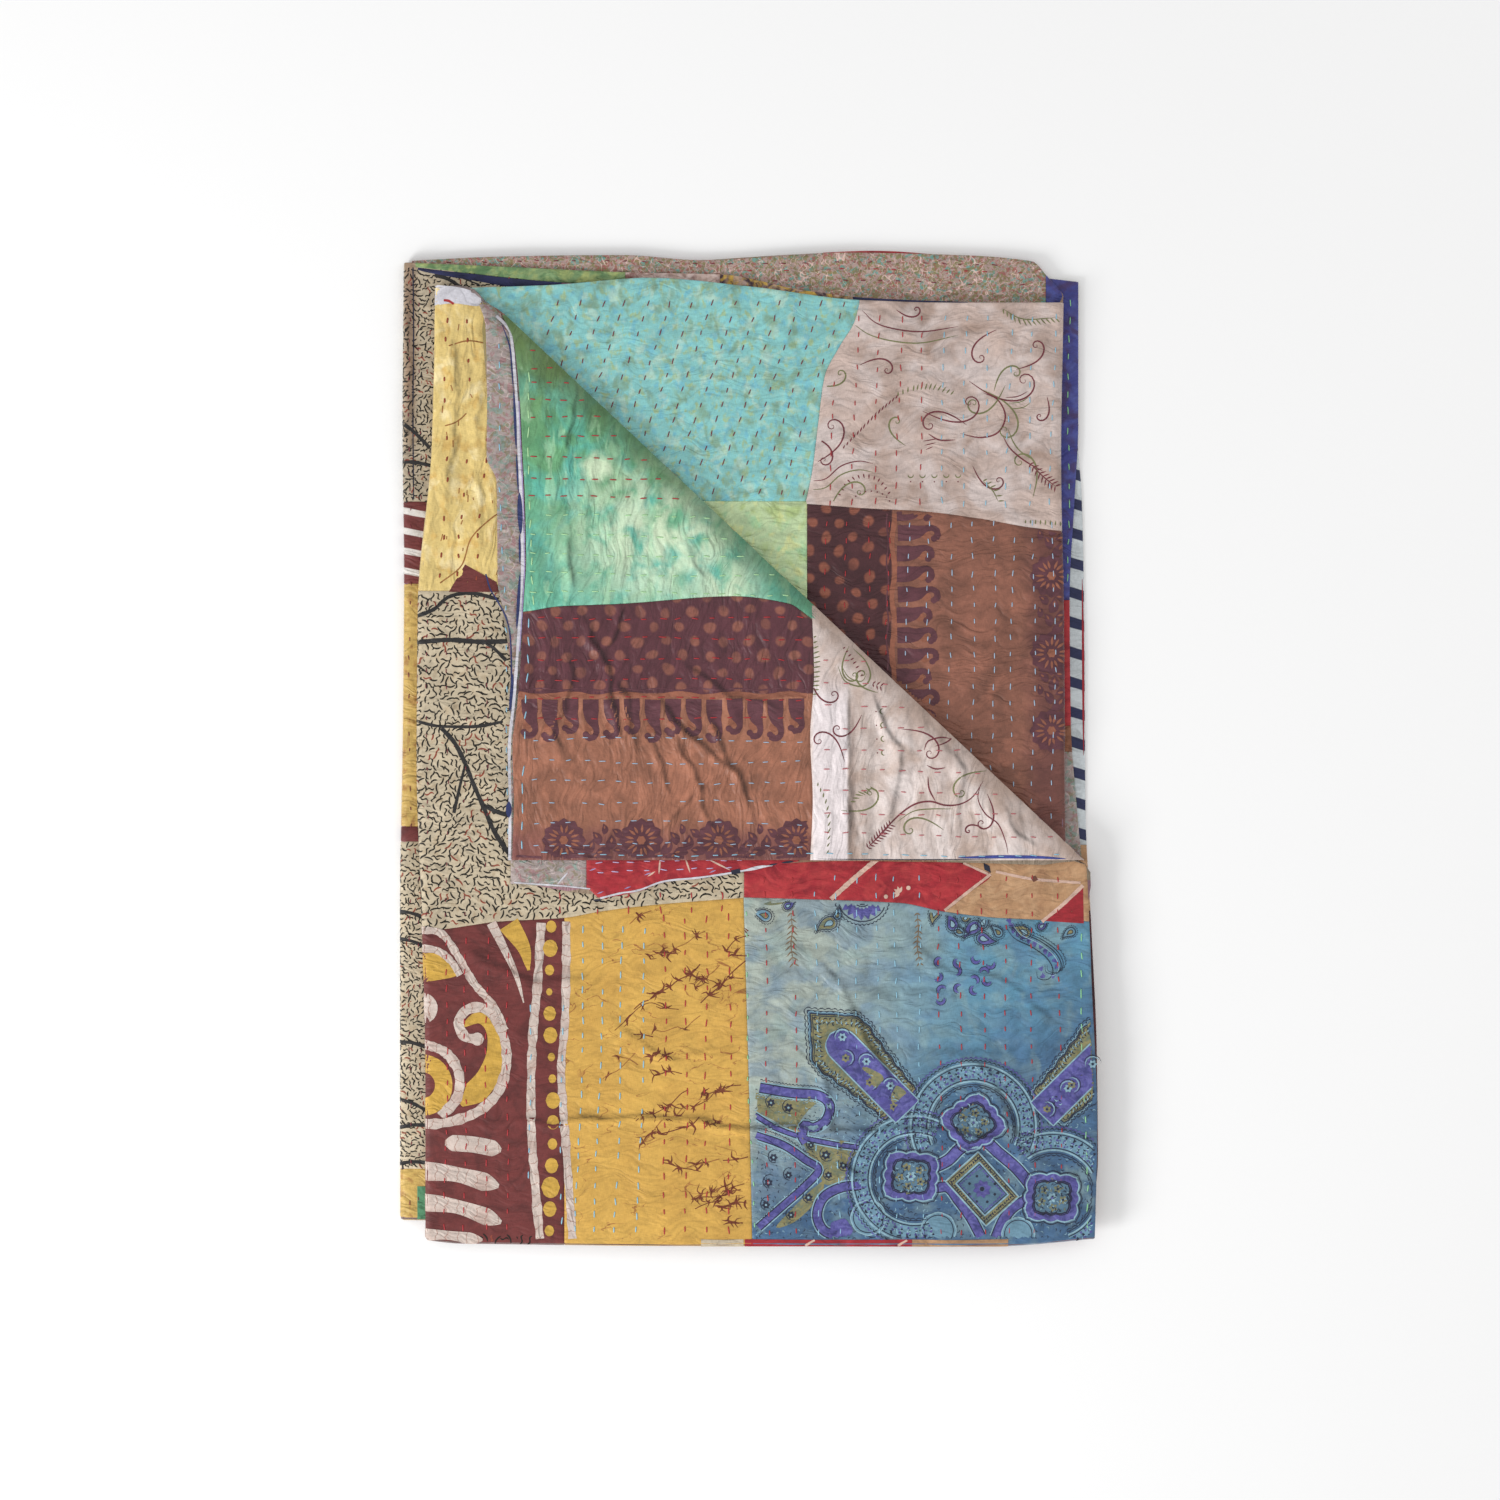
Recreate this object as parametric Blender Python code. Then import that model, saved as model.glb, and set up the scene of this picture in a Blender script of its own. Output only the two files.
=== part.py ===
"""A kantha quilt, folded in half and then back and forth in four levels, with one corner turned back.

Metres, +Z up. The quilt lies flat on Z = 0 with its origin under the middle of its outline. +X is to the
right and +Y is away from the bottom fold. It is one sheet of cloth: two plies in each level, joined along
the bottom fold, and four levels joined at the left, right and left folds. The top right corner of level 1
is rolled back over a diagonal line and lies on the lower left half of the front.
"""

import functools
import math

import bmesh
import bpy
import numpy as np
from mathutils import Vector

CLOTH = 0.0013  # thickness of the stitched cloth
PLY_PITCH = 0.0022  # from the middle of one ply to the middle of the next
LEVEL_PITCH = 2 * PLY_PITCH
PLY_OFFSET = PLY_PITCH / 2  # from a level's middle to the middle of each of its plies
FOLD_RADIUS = LEVEL_PITCH / 2  # of the folds that join two levels, at the level's middle
LEVELS = 4

FLAP_START = (-0.2176, 0.3688)  # where the turned-back edge leaves the top hem
FLAP_END = (0.2720, -0.0920)  # where it leaves the right hem
FLAP_RADIUS = 0.0016  # of the roll, at the middle of the front ply
FLAP_SETTLE = 0.0009  # how far the turned-back corner sinks towards the front, away from the roll
FLAP_SETTLE_RUN = 0.060

UNEVEN_RISE = 0.05  # share of its height by which the pile swells and sinks
UNEVEN_PITCH_X, UNEVEN_PITCH_Y = 0.23, 0.31

# Number of steps along the cloth
PANEL_SPLITS = (0, 0.04, 0.11, 0.22, 0.35, 0.48, 0.61, 0.74, 0.86, 0.94, 0.975, 1)
PLY_SPLITS = (0.03, 0.11, 0.22, 0.33, 0.44, 0.55, 0.66, 0.77, 0.87, 0.95, 1)
SIDE_FOLD_STEPS = 8
BOTTOM_FOLD_STEPS = 6
ROLL_STEPS = {"front": 6, "back": 9}

# Folded edges seen from above. Each row is a side fold, named by the levels that it joins, with its
# x at even steps from the bottom fold to the top hem, and how far inside it the inner ply's fold lies at
# the bottom and at the top.
#              fold     x at 0, 1/6, 2/6, 3/6, 4/6, 5/6 and 6/6 of the height               inner ply
SIDE_FOLDS = {
    (1, 2): ((-0.259, -0.259, -0.262, -0.266, -0.265, -0.254, -0.251), (0.0, 0.003)),
    (2, 3): ((0.257, 0.256, 0.255, 0.254, 0.253, 0.251, 0.253), (0.0, 0.004)),
    (3, 4): ((-0.280, -0.280, -0.280, -0.278, -0.277, -0.278, -0.277), (0.0, 0.004)),
}

# The free right hems: x against y, for each layer, counted from the front.
RIGHT_HEMS = {
    1: ((-0.40, 0.277), (-0.30, 0.279), (-0.20, 0.275), (-0.08, 0.270), (0.03, 0.261), (0.135, 0.255),
        (0.18, 0.256), (0.23, 0.262), (0.29, 0.271), (0.36, 0.258)),
    2: ((-0.40, 0.276), (-0.30, 0.278), (-0.20, 0.273), (-0.08, 0.268), (0.14, 0.257), (0.37, 0.241)),
    7: ((-0.38, 0.268), (-0.30, 0.272), (-0.20, 0.272), (-0.12, 0.270), (-0.05, 0.264), (0.02, 0.259),
        (0.12, 0.258), (0.20, 0.262), (0.26, 0.265), (0.38, 0.265)),
    8: ((-0.38, 0.276), (-0.33, 0.281), (-0.24, 0.280), (-0.15, 0.276), (-0.05, 0.271), (0.10, 0.270),
        (0.20, 0.268), (0.26, 0.264), (0.38, 0.263)),
}

# The top hems: y against x, for each layer.
TOP_HEMS = {
    1: ((-0.25, 0.369), (-0.20, 0.364), (-0.12, 0.362), (-0.06, 0.359), (0.02, 0.362), (0.10, 0.356),
        (0.24, 0.363), (0.26, 0.362)),
    2: ((-0.25, 0.368), (-0.18, 0.346), (-0.10, 0.341), (0.00, 0.343), (0.08, 0.352), (0.15, 0.362),
        (0.25, 0.368)),
    3: ((-0.25, 0.368), (-0.16, 0.371), (-0.08, 0.377), (0.00, 0.370), (0.09, 0.359), (0.17, 0.357),
        (0.26, 0.357)),
    4: ((-0.25, 0.368), (-0.16, 0.369), (-0.08, 0.374), (0.00, 0.367), (0.09, 0.355), (0.17, 0.354),
        (0.26, 0.356)),
    5: ((-0.28, 0.390), (-0.19, 0.386), (-0.10, 0.382), (-0.02, 0.380), (0.04, 0.368), (0.10, 0.361),
        (0.18, 0.358), (0.26, 0.356)),
    6: ((-0.28, 0.391), (-0.19, 0.395), (-0.10, 0.396), (-0.04, 0.392), (0.08, 0.398), (0.17, 0.396),
        (0.228, 0.391), (0.240, 0.379), (0.26, 0.357)),
    7: ((-0.28, 0.389), (-0.15, 0.390), (0.00, 0.388), (0.15, 0.384), (0.235, 0.378), (0.27, 0.374)),
    8: ((-0.28, 0.389), (-0.10, 0.390), (0.05, 0.398), (0.10, 0.400), (0.15, 0.397), (0.22, 0.374),
        (0.27, 0.371)),
}

# The bottom folds: y against x, for each level.
BOTTOM_FOLDS = {
    1: ((-0.26, -0.394), (-0.23, -0.397), (0.00, -0.399), (0.20, -0.399), (0.28, -0.393)),
    2: ((-0.26, -0.394), (0.00, -0.390), (0.26, -0.384)),
    3: ((-0.28, -0.379), (-0.10, -0.382), (0.26, -0.384)),
    4: ((-0.28, -0.379), (0.00, -0.375), (0.28, -0.379)),
}


@functools.cache
def slopes(rows):
    """A slope at each row of a table (place, value), level at its peaks, so that no curve overshoots."""
    steps = [(b[1] - a[1]) / (b[0] - a[0]) for a, b in zip(rows, rows[1:])]
    inner = [2 * a * b / (a + b) if a * b > 0 else 0.0 for a, b in zip(steps, steps[1:])]
    return [steps[0], *inner, steps[-1]]


def along(rows, at):
    """The smooth curve through a table's rows (place, value), read at one place."""
    places = [row[0] for row in rows]
    at = min(max(at, places[0]), places[-1])
    k = min(max(np.searchsorted(places, at) - 1, 0), len(rows) - 2)
    run = places[k + 1] - places[k]
    t = (at - places[k]) / run
    a, b = rows[k][1], rows[k + 1][1]
    ga, gb = slopes(rows)[k] * run, slopes(rows)[k + 1] * run
    return a + t * ga + t * t * (3 * (b - a) - 2 * ga - gb) + t * t * t * (2 * (a - b) + ga + gb)


def level_z(level):
    """Height of a level's middle. The lowest ply's underside is at Z = 0."""
    return CLOTH / 2 + PLY_OFFSET + (LEVELS - level) * LEVEL_PITCH


def layer_of(level, half):
    """Layer number, counted from the front. The two halves of the cloth swap places in each level."""
    is_upper = (half == "first") == (level % 2 == 1)
    return 2 * level - 1 if is_upper else 2 * level


def fold_x(pair, v, inner):
    """x of the outermost point of a side fold, at a share v of its height."""
    edge, gap = SIDE_FOLDS[pair]
    rows = tuple((i / (len(edge) - 1), x) for i, x in enumerate(edge))
    inwards = -1 if pair == (2, 3) else 1
    return along(rows, v) + inwards * inner * (gap[0] + v * (gap[1] - gap[0]))


def fold_centre_x(pair, v, inner):
    reach = FOLD_RADIUS + PLY_OFFSET + CLOTH / 2
    return fold_x(pair, v, inner) + (-reach if pair == (2, 3) else reach)


def is_outer(pair, half):
    """Whether a half of the cloth runs round the outside of a side fold."""
    return half == ("first" if pair != (2, 3) else "second")


def panel_end_x(level, end, v, half, y):
    """x of the left or right end of the straight run of one layer in a level."""
    left_pair = (1, 2) if level <= 2 else (3, 4)
    if end == "left":
        return fold_centre_x(left_pair, v, not is_outer(left_pair, half))
    if level in (2, 3):
        return fold_centre_x((2, 3), v, not is_outer((2, 3), half))
    return along(RIGHT_HEMS[layer_of(level, half)], y)


@functools.cache
def sheet_xy(level, u, v, half):
    """x and y of the cloth in a level, at shares u of its width from the left and v of its height."""
    layer = layer_of(level, half)
    x, y = 0.0, 0.0
    for _ in range(4):  # each edge is read at the place that the other edges give, until they agree
        left = panel_end_x(level, "left", v, half, y)
        right = panel_end_x(level, "right", v, half, y)
        x = left + u * (right - left)
        low = along(BOTTOM_FOLDS[level], x) + PLY_OFFSET + CLOTH / 2
        y = low + v * (along(TOP_HEMS[layer], x) - low)
    return x, y


def stations_along():
    """Places along the cloth's length: the levels' runs from their first end, and the folds between."""
    places = []
    for level in range(1, LEVELS + 1):
        for split in PANEL_SPLITS:
            places.append(("run", level, split))
        if level < LEVELS:
            for step in range(1, SIDE_FOLD_STEPS):
                places.append(("fold", level, step / SIDE_FOLD_STEPS))
    return places


def stations_across():
    """Places across the cloth: down one half from its hem, round the bottom fold and up the other half."""
    places = [("first", v) for v in reversed(PLY_SPLITS)]
    places += [("bend", k / BOTTOM_FOLD_STEPS) for k in range(BOTTOM_FOLD_STEPS + 1)]
    places += [("second", v) for v in PLY_SPLITS]
    return places


def ply_offset(across, lift):
    """Offset from the level's middle, drop below the bottom fold's centre, and share of each half."""
    kind, value = across
    radius = PLY_OFFSET + lift
    if kind == "bend":
        turn = value * math.pi
        return radius * math.cos(turn), radius * math.sin(turn), value
    return (radius, 0.0, 0.0) if kind == "first" else (-radius, 0.0, 1.0)


def point(along_place, across, lift):
    """A point of the cloth before the corner is turned back. lift is its height above the cloth's middle."""
    kind, level, share = along_place
    offset, drop, second = ply_offset(across, lift)
    v = across[1] if across[0] != "bend" else 0.0
    up = 1 if level % 2 == 1 else -1

    def both(place_level, u):
        a = sheet_xy(place_level, u, v, "first")
        b = sheet_xy(place_level, u, v, "second")
        return a[0] + second * (b[0] - a[0]), a[1] + second * (b[1] - a[1])

    if kind == "run":
        u = 1 - share if level % 2 == 1 else share
        x, y = both(level, u)
        return Vector((x, y - drop, level_z(level) + up * offset))
    side = 0.0 if level % 2 == 1 else 1.0
    x0, y0 = both(level, side)
    x1, y1 = both(level + 1, side)
    outwards = -1 if level % 2 == 1 else 1
    radius = FOLD_RADIUS + up * offset
    turn = share * math.pi
    x = x0 + share * (x1 - x0) + outwards * radius * math.sin(turn)
    z = level_z(level) - FOLD_RADIUS + radius * math.cos(turn)
    return Vector((x, y0 + share * (y1 - y0) - drop, z))


def build_sheet(bm):
    """The closed sheet: its outer face, its inner face and the hems between them."""
    rows, columns = stations_along(), stations_across()
    faces = {}
    for side, lift in (("outer", CLOTH / 2), ("inner", -CLOTH / 2)):
        faces[side] = [[bm.verts.new(point(a, b, lift)) for b in columns] for a in rows]
    outer, inner = faces["outer"], faces["inner"]
    last_row, last_column = len(rows) - 1, len(columns) - 1
    for i in range(last_row):
        for j in range(last_column):
            bm.faces.new((outer[i][j], outer[i + 1][j], outer[i + 1][j + 1], outer[i][j + 1]))
            bm.faces.new((inner[i][j], inner[i][j + 1], inner[i + 1][j + 1], inner[i + 1][j]))
    for i in range(last_row):
        for j, turn in ((0, True), (last_column, False)):
            quad = [outer[i][j], outer[i + 1][j], inner[i + 1][j], inner[i][j]]
            bm.faces.new(quad[::-1] if turn else quad)
    for j in range(last_column):
        for i, turn in ((0, False), (last_row, True)):
            quad = [outer[i][j], outer[i][j + 1], inner[i][j + 1], inner[i][j]]
            bm.faces.new(quad[::-1] if turn else quad)


def flap_frame():
    """A point on the roll's start line, and its unit directions along it and out towards the corner."""
    start, end = Vector((*FLAP_START, 0)), Vector((*FLAP_END, 0))
    run = (end - start).normalized()
    out = Vector((-run.y, run.x, 0))
    reach = FLAP_RADIUS + PLY_PITCH + CLOTH / 2
    return start - reach * out, run, out


def ply_of(z):
    """The front or back ply of level 1, or None below them, from a height before the roll."""
    if z > level_z(1):
        return "front"
    return "back" if z > level_z(1) - FOLD_RADIUS else None


def roll_radius(ply):
    return FLAP_RADIUS + (PLY_PITCH if ply == "back" else 0.0)


def cut_roll_lines(bm):
    """Cuts level 1 along the lines where it bends, so that the roll is round."""
    start, _, out = flap_frame()
    for ply in ("front", "back"):
        for step in range(ROLL_STEPS[ply] + 1):
            place = start + out * (math.pi * roll_radius(ply) * step / ROLL_STEPS[ply])
            faces = [f for f in bm.faces if all(ply_of(v.co.z) == ply for v in f.verts)]
            edges = {e for f in faces for e in f.edges}
            verts = {v for f in faces for v in f.verts}
            bmesh.ops.bisect_plane(
                bm, geom=[*verts, *edges, *faces], dist=1e-6, plane_co=place, plane_no=out
            )


def turn_corner_back(bm):
    start, run, out = flap_frame()
    axis_z = level_z(1) + PLY_OFFSET + FLAP_RADIUS
    for v in bm.verts:
        ply = ply_of(v.co.z)
        beyond = (v.co - start).dot(out)
        if ply is None or beyond <= 0:
            continue
        foot = v.co - out * beyond
        radius = axis_z - v.co.z
        turn = beyond / roll_radius(ply)
        if turn < math.pi:
            reach, z = radius * math.sin(turn), axis_z - radius * math.cos(turn)
        else:
            back = beyond - math.pi * roll_radius(ply)
            settled = min(back / FLAP_SETTLE_RUN, 1.0)
            reach, z = -back, axis_z + radius - FLAP_SETTLE * settled * settled * (3 - 2 * settled)
        v.co = Vector((foot.x + out.x * reach, foot.y + out.y * reach, z))


def make_uneven(bm):
    """Lets the pile swell and sink softly. Heights scale together, so that no layer meets the next."""
    for v in bm.verts:
        wave = math.sin(2 * math.pi * v.co.x / UNEVEN_PITCH_X + 0.7)
        wave *= math.sin(2 * math.pi * v.co.y / UNEVEN_PITCH_Y + 0.3)
        v.co.z *= 1 + UNEVEN_RISE * wave


def centre(bm):
    """Puts the origin under the middle of the outline."""
    lows = [min(v.co[k] for v in bm.verts) for k in range(3)]
    highs = [max(v.co[k] for v in bm.verts) for k in range(3)]
    shift = Vector(((lows[0] + highs[0]) / 2, (lows[1] + highs[1]) / 2, lows[2]))
    bmesh.ops.translate(bm, vec=-shift, verts=bm.verts)


def cloth_material():
    material = bpy.data.materials.new("patched_cotton")
    material.use_nodes = True
    shader = material.node_tree.nodes["Principled BSDF"]
    shader.inputs["Base Color"].default_value = (0.42, 0.22, 0.12, 1)
    shader.inputs["Roughness"].default_value = 0.85
    shader.inputs["Metallic"].default_value = 0.0
    return material


def build_quilt():
    bm = bmesh.new()
    build_sheet(bm)
    cut_roll_lines(bm)
    turn_corner_back(bm)
    make_uneven(bm)
    bmesh.ops.triangulate(bm, faces=bm.faces)
    centre(bm)
    mesh = bpy.data.meshes.new("quilt")
    bm.to_mesh(mesh)
    bm.free()
    mesh.materials.append(cloth_material())
    mesh.shade_smooth()
    quilt = bpy.data.objects.new("quilt", mesh)
    bpy.context.scene.collection.objects.link(quilt)
    return quilt


for leftover in list(bpy.data.objects):
    bpy.data.objects.remove(leftover)
build_quilt()
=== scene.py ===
import math

import bpy
import numpy as np
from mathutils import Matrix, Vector


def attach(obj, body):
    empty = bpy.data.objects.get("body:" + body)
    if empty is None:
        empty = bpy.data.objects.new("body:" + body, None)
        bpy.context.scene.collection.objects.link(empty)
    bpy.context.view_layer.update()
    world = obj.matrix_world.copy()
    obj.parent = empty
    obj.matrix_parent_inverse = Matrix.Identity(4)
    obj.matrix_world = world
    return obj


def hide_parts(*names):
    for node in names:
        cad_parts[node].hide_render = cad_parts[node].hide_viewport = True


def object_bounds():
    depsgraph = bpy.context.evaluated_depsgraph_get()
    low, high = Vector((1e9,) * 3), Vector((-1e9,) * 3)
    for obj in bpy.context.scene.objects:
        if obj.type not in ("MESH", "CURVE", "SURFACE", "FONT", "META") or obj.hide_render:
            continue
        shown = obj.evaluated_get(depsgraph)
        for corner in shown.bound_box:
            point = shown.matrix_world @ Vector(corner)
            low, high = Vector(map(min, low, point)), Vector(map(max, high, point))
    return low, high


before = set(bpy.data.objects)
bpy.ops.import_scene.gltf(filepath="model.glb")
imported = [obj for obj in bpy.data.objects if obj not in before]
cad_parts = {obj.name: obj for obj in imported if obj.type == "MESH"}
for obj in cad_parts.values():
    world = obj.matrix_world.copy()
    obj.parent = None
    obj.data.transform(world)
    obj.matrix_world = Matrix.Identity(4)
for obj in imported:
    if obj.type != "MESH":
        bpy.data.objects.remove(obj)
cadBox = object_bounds()
print("frame loaded")

# Places and sizes are in millimetres from the middle of the pile: x to the right, y up to the hems.
mm = 0.001
rng = np.random.default_rng(11)

cloth = {
    "half": 0.4,  # half the thickness of the ground sheet
    "ply": 2.2, "level": 4.4, "levels": 4, "lowest": 1.75, "slack": 0.65,
    "rise": 0.05, "risePitch": (230, 310), "risePhase": (0.7, 0.3),
}
# x of each folded edge at even steps from the bottom fold to the hems, and the inner ply's set-back
sideFolds = {
    (1, 2): ((-259, -259, -262, -266, -265, -254, -251), 3),
    (2, 3): ((257, 256, 255, 254, 253, 251, 253), 4),
    (3, 4): ((-280, -280, -280, -278, -277, -278, -277), 4),
}
# (y, x) along the free right hems, by layer from the front
rightHems = {
    1: ((-400, 277), (-300, 279), (-200, 275), (-80, 270), (30, 261), (135, 255), (180, 256), (230, 262),
        (290, 271), (360, 258)),
    2: ((-400, 276), (-300, 278), (-200, 273), (-80, 268), (140, 257), (370, 241)),
    7: ((-380, 268), (-300, 272), (-200, 272), (-120, 270), (-50, 264), (20, 259), (120, 258), (200, 262),
        (260, 265), (380, 265)),
    8: ((-380, 276), (-330, 281), (-240, 280), (-150, 276), (-50, 271), (100, 270), (200, 268), (260, 264),
        (380, 263)),
}
# (x, y) along the top hems, by layer
topHems = {
    1: ((-250, 369), (-200, 364), (-120, 362), (-60, 359), (20, 362), (100, 356), (240, 363), (260, 362)),
    2: ((-250, 368), (-180, 346), (-100, 341), (0, 343), (80, 352), (150, 362), (250, 368)),
    3: ((-250, 368), (-160, 371), (-80, 377), (0, 370), (90, 359), (170, 357), (260, 357)),
    4: ((-250, 368), (-160, 369), (-80, 374), (0, 367), (90, 355), (170, 354), (260, 356)),
    5: ((-280, 390), (-190, 386), (-100, 382), (-20, 380), (40, 368), (100, 361), (180, 358), (260, 356)),
    6: ((-280, 391), (-190, 395), (-100, 396), (-40, 392), (80, 398), (170, 396), (228, 391), (240, 379),
        (260, 357)),
    7: ((-280, 389), (-150, 390), (0, 388), (150, 384), (235, 378), (270, 374)),
    8: ((-280, 389), (-100, 390), (50, 398), (100, 400), (150, 397), (220, 374), (270, 371)),
}
bottomFolds = {  # (x, y), by level
    1: ((-260, -394), (-230, -397), (0, -399), (200, -399), (280, -393)),
    2: ((-260, -394), (0, -390), (260, -384)),
    3: ((-280, -379), (-100, -382), (260, -384)),
    4: ((-280, -379), (0, -375), (280, -379)),
}
corner = {  # the corner of level 1 that is turned back, measured at the middle of layer 2
    "start": (-217.6, 368.8), "end": (272.0, -92.0),  # its edge, seen from above
    "radius": (1.6, 3.8), "inset": 4.45,  # of the tight roll that the layers make without the puff
    "reach": 22, "underReach": 12, "middle": 17.2, "crown": 23.6, "rest": 20.6, "settle": 85,
}


# A smooth curve through (place, value) rows that never overshoots
def along(rows, at):
    rows = np.array(rows, float)
    places, values = rows.T
    steps = np.diff(values) / np.diff(places)
    product = steps[:-1] * steps[1:]
    inner = np.where(product > 0, 2 * product / np.where(product > 0, steps[:-1] + steps[1:], 1), 0)
    slopes = np.concatenate([steps[:1], inner, steps[-1:]])
    at = np.clip(at, places[0], places[-1])
    k = np.clip(np.searchsorted(places, at) - 1, 0, len(places) - 2)
    run = places[k + 1] - places[k]
    t = (at - places[k]) / run
    a, b, ga, gb = values[k], values[k + 1], slopes[k] * run, slopes[k + 1] * run
    return a + t * ga + t * t * (3 * (b - a) - 2 * ga - gb) + t * t * t * (2 * (a - b) + ga + gb)


def ease(t):
    t = np.clip(t, 0, 1)
    return t * t * (3 - 2 * t)


lattice = rng.random((97, 97))


# Smooth noise from -1 to 1, with its own pitch along and across a turned direction
def grain(x, y, pitchX, pitchY=None, turn=0.0, seed=0):
    pitchY = pitchY or pitchX
    u = (x * math.cos(turn) + y * math.sin(turn)) / pitchX + 13.7 * seed + 500
    v = (y * math.cos(turn) - x * math.sin(turn)) / pitchY + 7.3 * seed + 500
    i, j = np.floor(u).astype(int), np.floor(v).astype(int)
    s, t = u - i, v - j
    s, t = s * s * (3 - 2 * s), t * t * (3 - 2 * t)
    i, j, i1, j1 = i % 97, j % 97, (i + 1) % 97, (j + 1) % 97
    low = lattice[i, j] * (1 - s) + lattice[i1, j] * s
    high = lattice[i, j1] * (1 - s) + lattice[i1, j1] * s
    return 2 * (low * (1 - t) + high * t) - 1


def levelZ(level):
    return cloth["lowest"] + (cloth["levels"] - level) * cloth["level"]


def layerZ(layer):
    return levelZ((layer + 1) // 2) + cloth["ply"] / 2 * (1 if layer % 2 else -1)


def layerOf(level, half):
    isUpper = (half == 0) == (level % 2 == 1)
    return 2 * level - 1 if isUpper else 2 * level


def foldPair(layer, side):
    if side == "left":
        return (1, 2) if layer <= 4 else (3, 4)
    return (2, 3) if 3 <= layer <= 6 else None


def foldZ(pair):
    return levelZ(pair[0]) - cloth["level"] / 2


def foldCentre(layer, side, v):
    pair = foldPair(layer, side)
    edge, gap = sideFolds[pair]
    rows = [(i / (len(edge) - 1), x) for i, x in enumerate(edge)]
    outer = abs(layerZ(layer) - foldZ(pair)) > cloth["level"] / 2
    inset = cloth["level"] / 2 + cloth["ply"] / 2 + cloth["slack"] + (0 if outer else gap * v)
    return along(rows, v) + (inset if side == "left" else -inset)


def lowLine(layer, x):
    return along(bottomFolds[(layer + 1) // 2], x) + cloth["ply"] / 2 + cloth["slack"]


def shareOf(layer, x, y):
    low = lowLine(layer, x)
    return np.clip((y - low) / (along(topHems[layer], x) - low), 0, 1)


# A place on a layer as it lies, bent round the bottom and side folds where it passes them
def onLayer(layer, x, y, lift):
    up = 1 if layer % 2 else -1
    level, radius = (layer + 1) // 2, cloth["ply"] / 2
    low = lowLine(layer, x)
    turn = np.clip((low - y) / radius, 0, math.pi)
    z = levelZ(level) + up * (radius + lift) * np.cos(turn)
    newY = np.where(y < low, low - (radius + lift) * np.sin(turn), y)
    v = shareOf(layer, x, y)
    newX = x
    for side, sign in (("left", -1), ("right", 1)):
        pair = foldPair(layer, side)
        if pair is None:
            continue
        centre, middle = foldCentre(layer, side, v), foldZ(pair)
        turn = np.clip(sign * (x - centre) / abs(layerZ(layer) - middle), 0, math.pi)
        rise = z - middle
        beyond = sign * (x - centre) > 0
        newX = np.where(beyond, centre + sign * np.abs(rise) * np.sin(turn), newX)
        z = np.where(beyond, middle + rise * np.cos(turn), z)
    return newX, newY, z


edgeStart, edgeEnd = np.array(corner["start"]), np.array(corner["end"])
edgeRun = (edgeEnd - edgeStart) / np.linalg.norm(edgeEnd - edgeStart)
edgeOut = np.array((-edgeRun[1], edgeRun[0]))


# x of the turned-back edge at a height y, or of a line inside it
def edgeX(y, inside=0):
    return edgeStart[0] + (y - edgeStart[1]) * edgeRun[0] / edgeRun[1] - inside / edgeOut[0]


def edgeY(x, inside=0):
    return edgeStart[1] + (x - edgeStart[0]) * edgeRun[1] / edgeRun[0] - inside / edgeOut[1]


# Distance out past the turned-back edge
def outOf(x, y):
    return (x - edgeStart[0]) * edgeOut[0] + (y - edgeStart[1]) * edgeOut[1]


# Height of layer 2 at a distance back from the turned-back edge, and its slope's direction
def rollCurve(back, under):
    reach = np.where(under, corner["underReach"], corner["reach"])
    t = np.clip(1 - back / reach, 0, 1)
    bulge = np.sqrt(np.clip(1 - t * t, 0, 1))
    settle = ease((back - corner["reach"] * 0.6) / corner["settle"])
    crown = corner["crown"] - (corner["crown"] - corner["rest"]) * settle
    height = np.where(under, corner["middle"] - layerZ(2), crown - corner["middle"])
    z = corner["middle"] + np.where(under, -1, 1) * height * bulge
    # the outward normal, in (out, up)
    normalOut, normalUp = t / reach, bulge / height
    size = np.hypot(normalOut, normalUp)
    return z, normalOut / size, np.where(under, -1, 1) * normalUp / size


# A place on the turned-back corner as it lies. Past its edge it goes on round to the underside
def onFlap(x, y, lift):
    out = outOf(x, y)
    back = np.abs(out) + 1.0
    z, normalOut, normalUp = rollCurve(back, out > 0)
    shift = -back - out + normalOut * lift
    return x + edgeOut[0] * shift, y + edgeOut[1] * shift, z + normalUp * lift


# Rolls the corner of level 1 back, for the ground sheet
def turnBack(x, y, z, front, inLevel):
    past = outOf(x, y) + corner["inset"] - math.pi / 2 * np.where(front, *corner["radius"])
    lift = layerZ(2) - z
    blend = np.clip(np.abs(past) / 20, 0, 1) ** 0.8
    far = np.abs(past) - math.pi / 2 * np.where(front, *corner["radius"]) + corner["inset"]
    back = 0.8 + (far - 0.8) * blend
    zMid, normalOut, normalUp = rollCurve(back, past < 0)
    moved = inLevel & (past > -24)
    # far back on the underside the cloth lies as it did
    shift = -back - outOf(x, y) + normalOut * lift
    return (np.where(moved, x + edgeOut[0] * shift, x), np.where(moved, y + edgeOut[1] * shift, y),
        np.where(moved, zMid + normalUp * lift, z))


def swell(x, y, z):
    pitch, phase = cloth["risePitch"], cloth["risePhase"]
    wave = np.sin(2 * math.pi * x / pitch[0] + phase[0]) * np.sin(2 * math.pi * y / pitch[1] + phase[1])
    return z * (1 + cloth["rise"] * wave)


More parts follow.
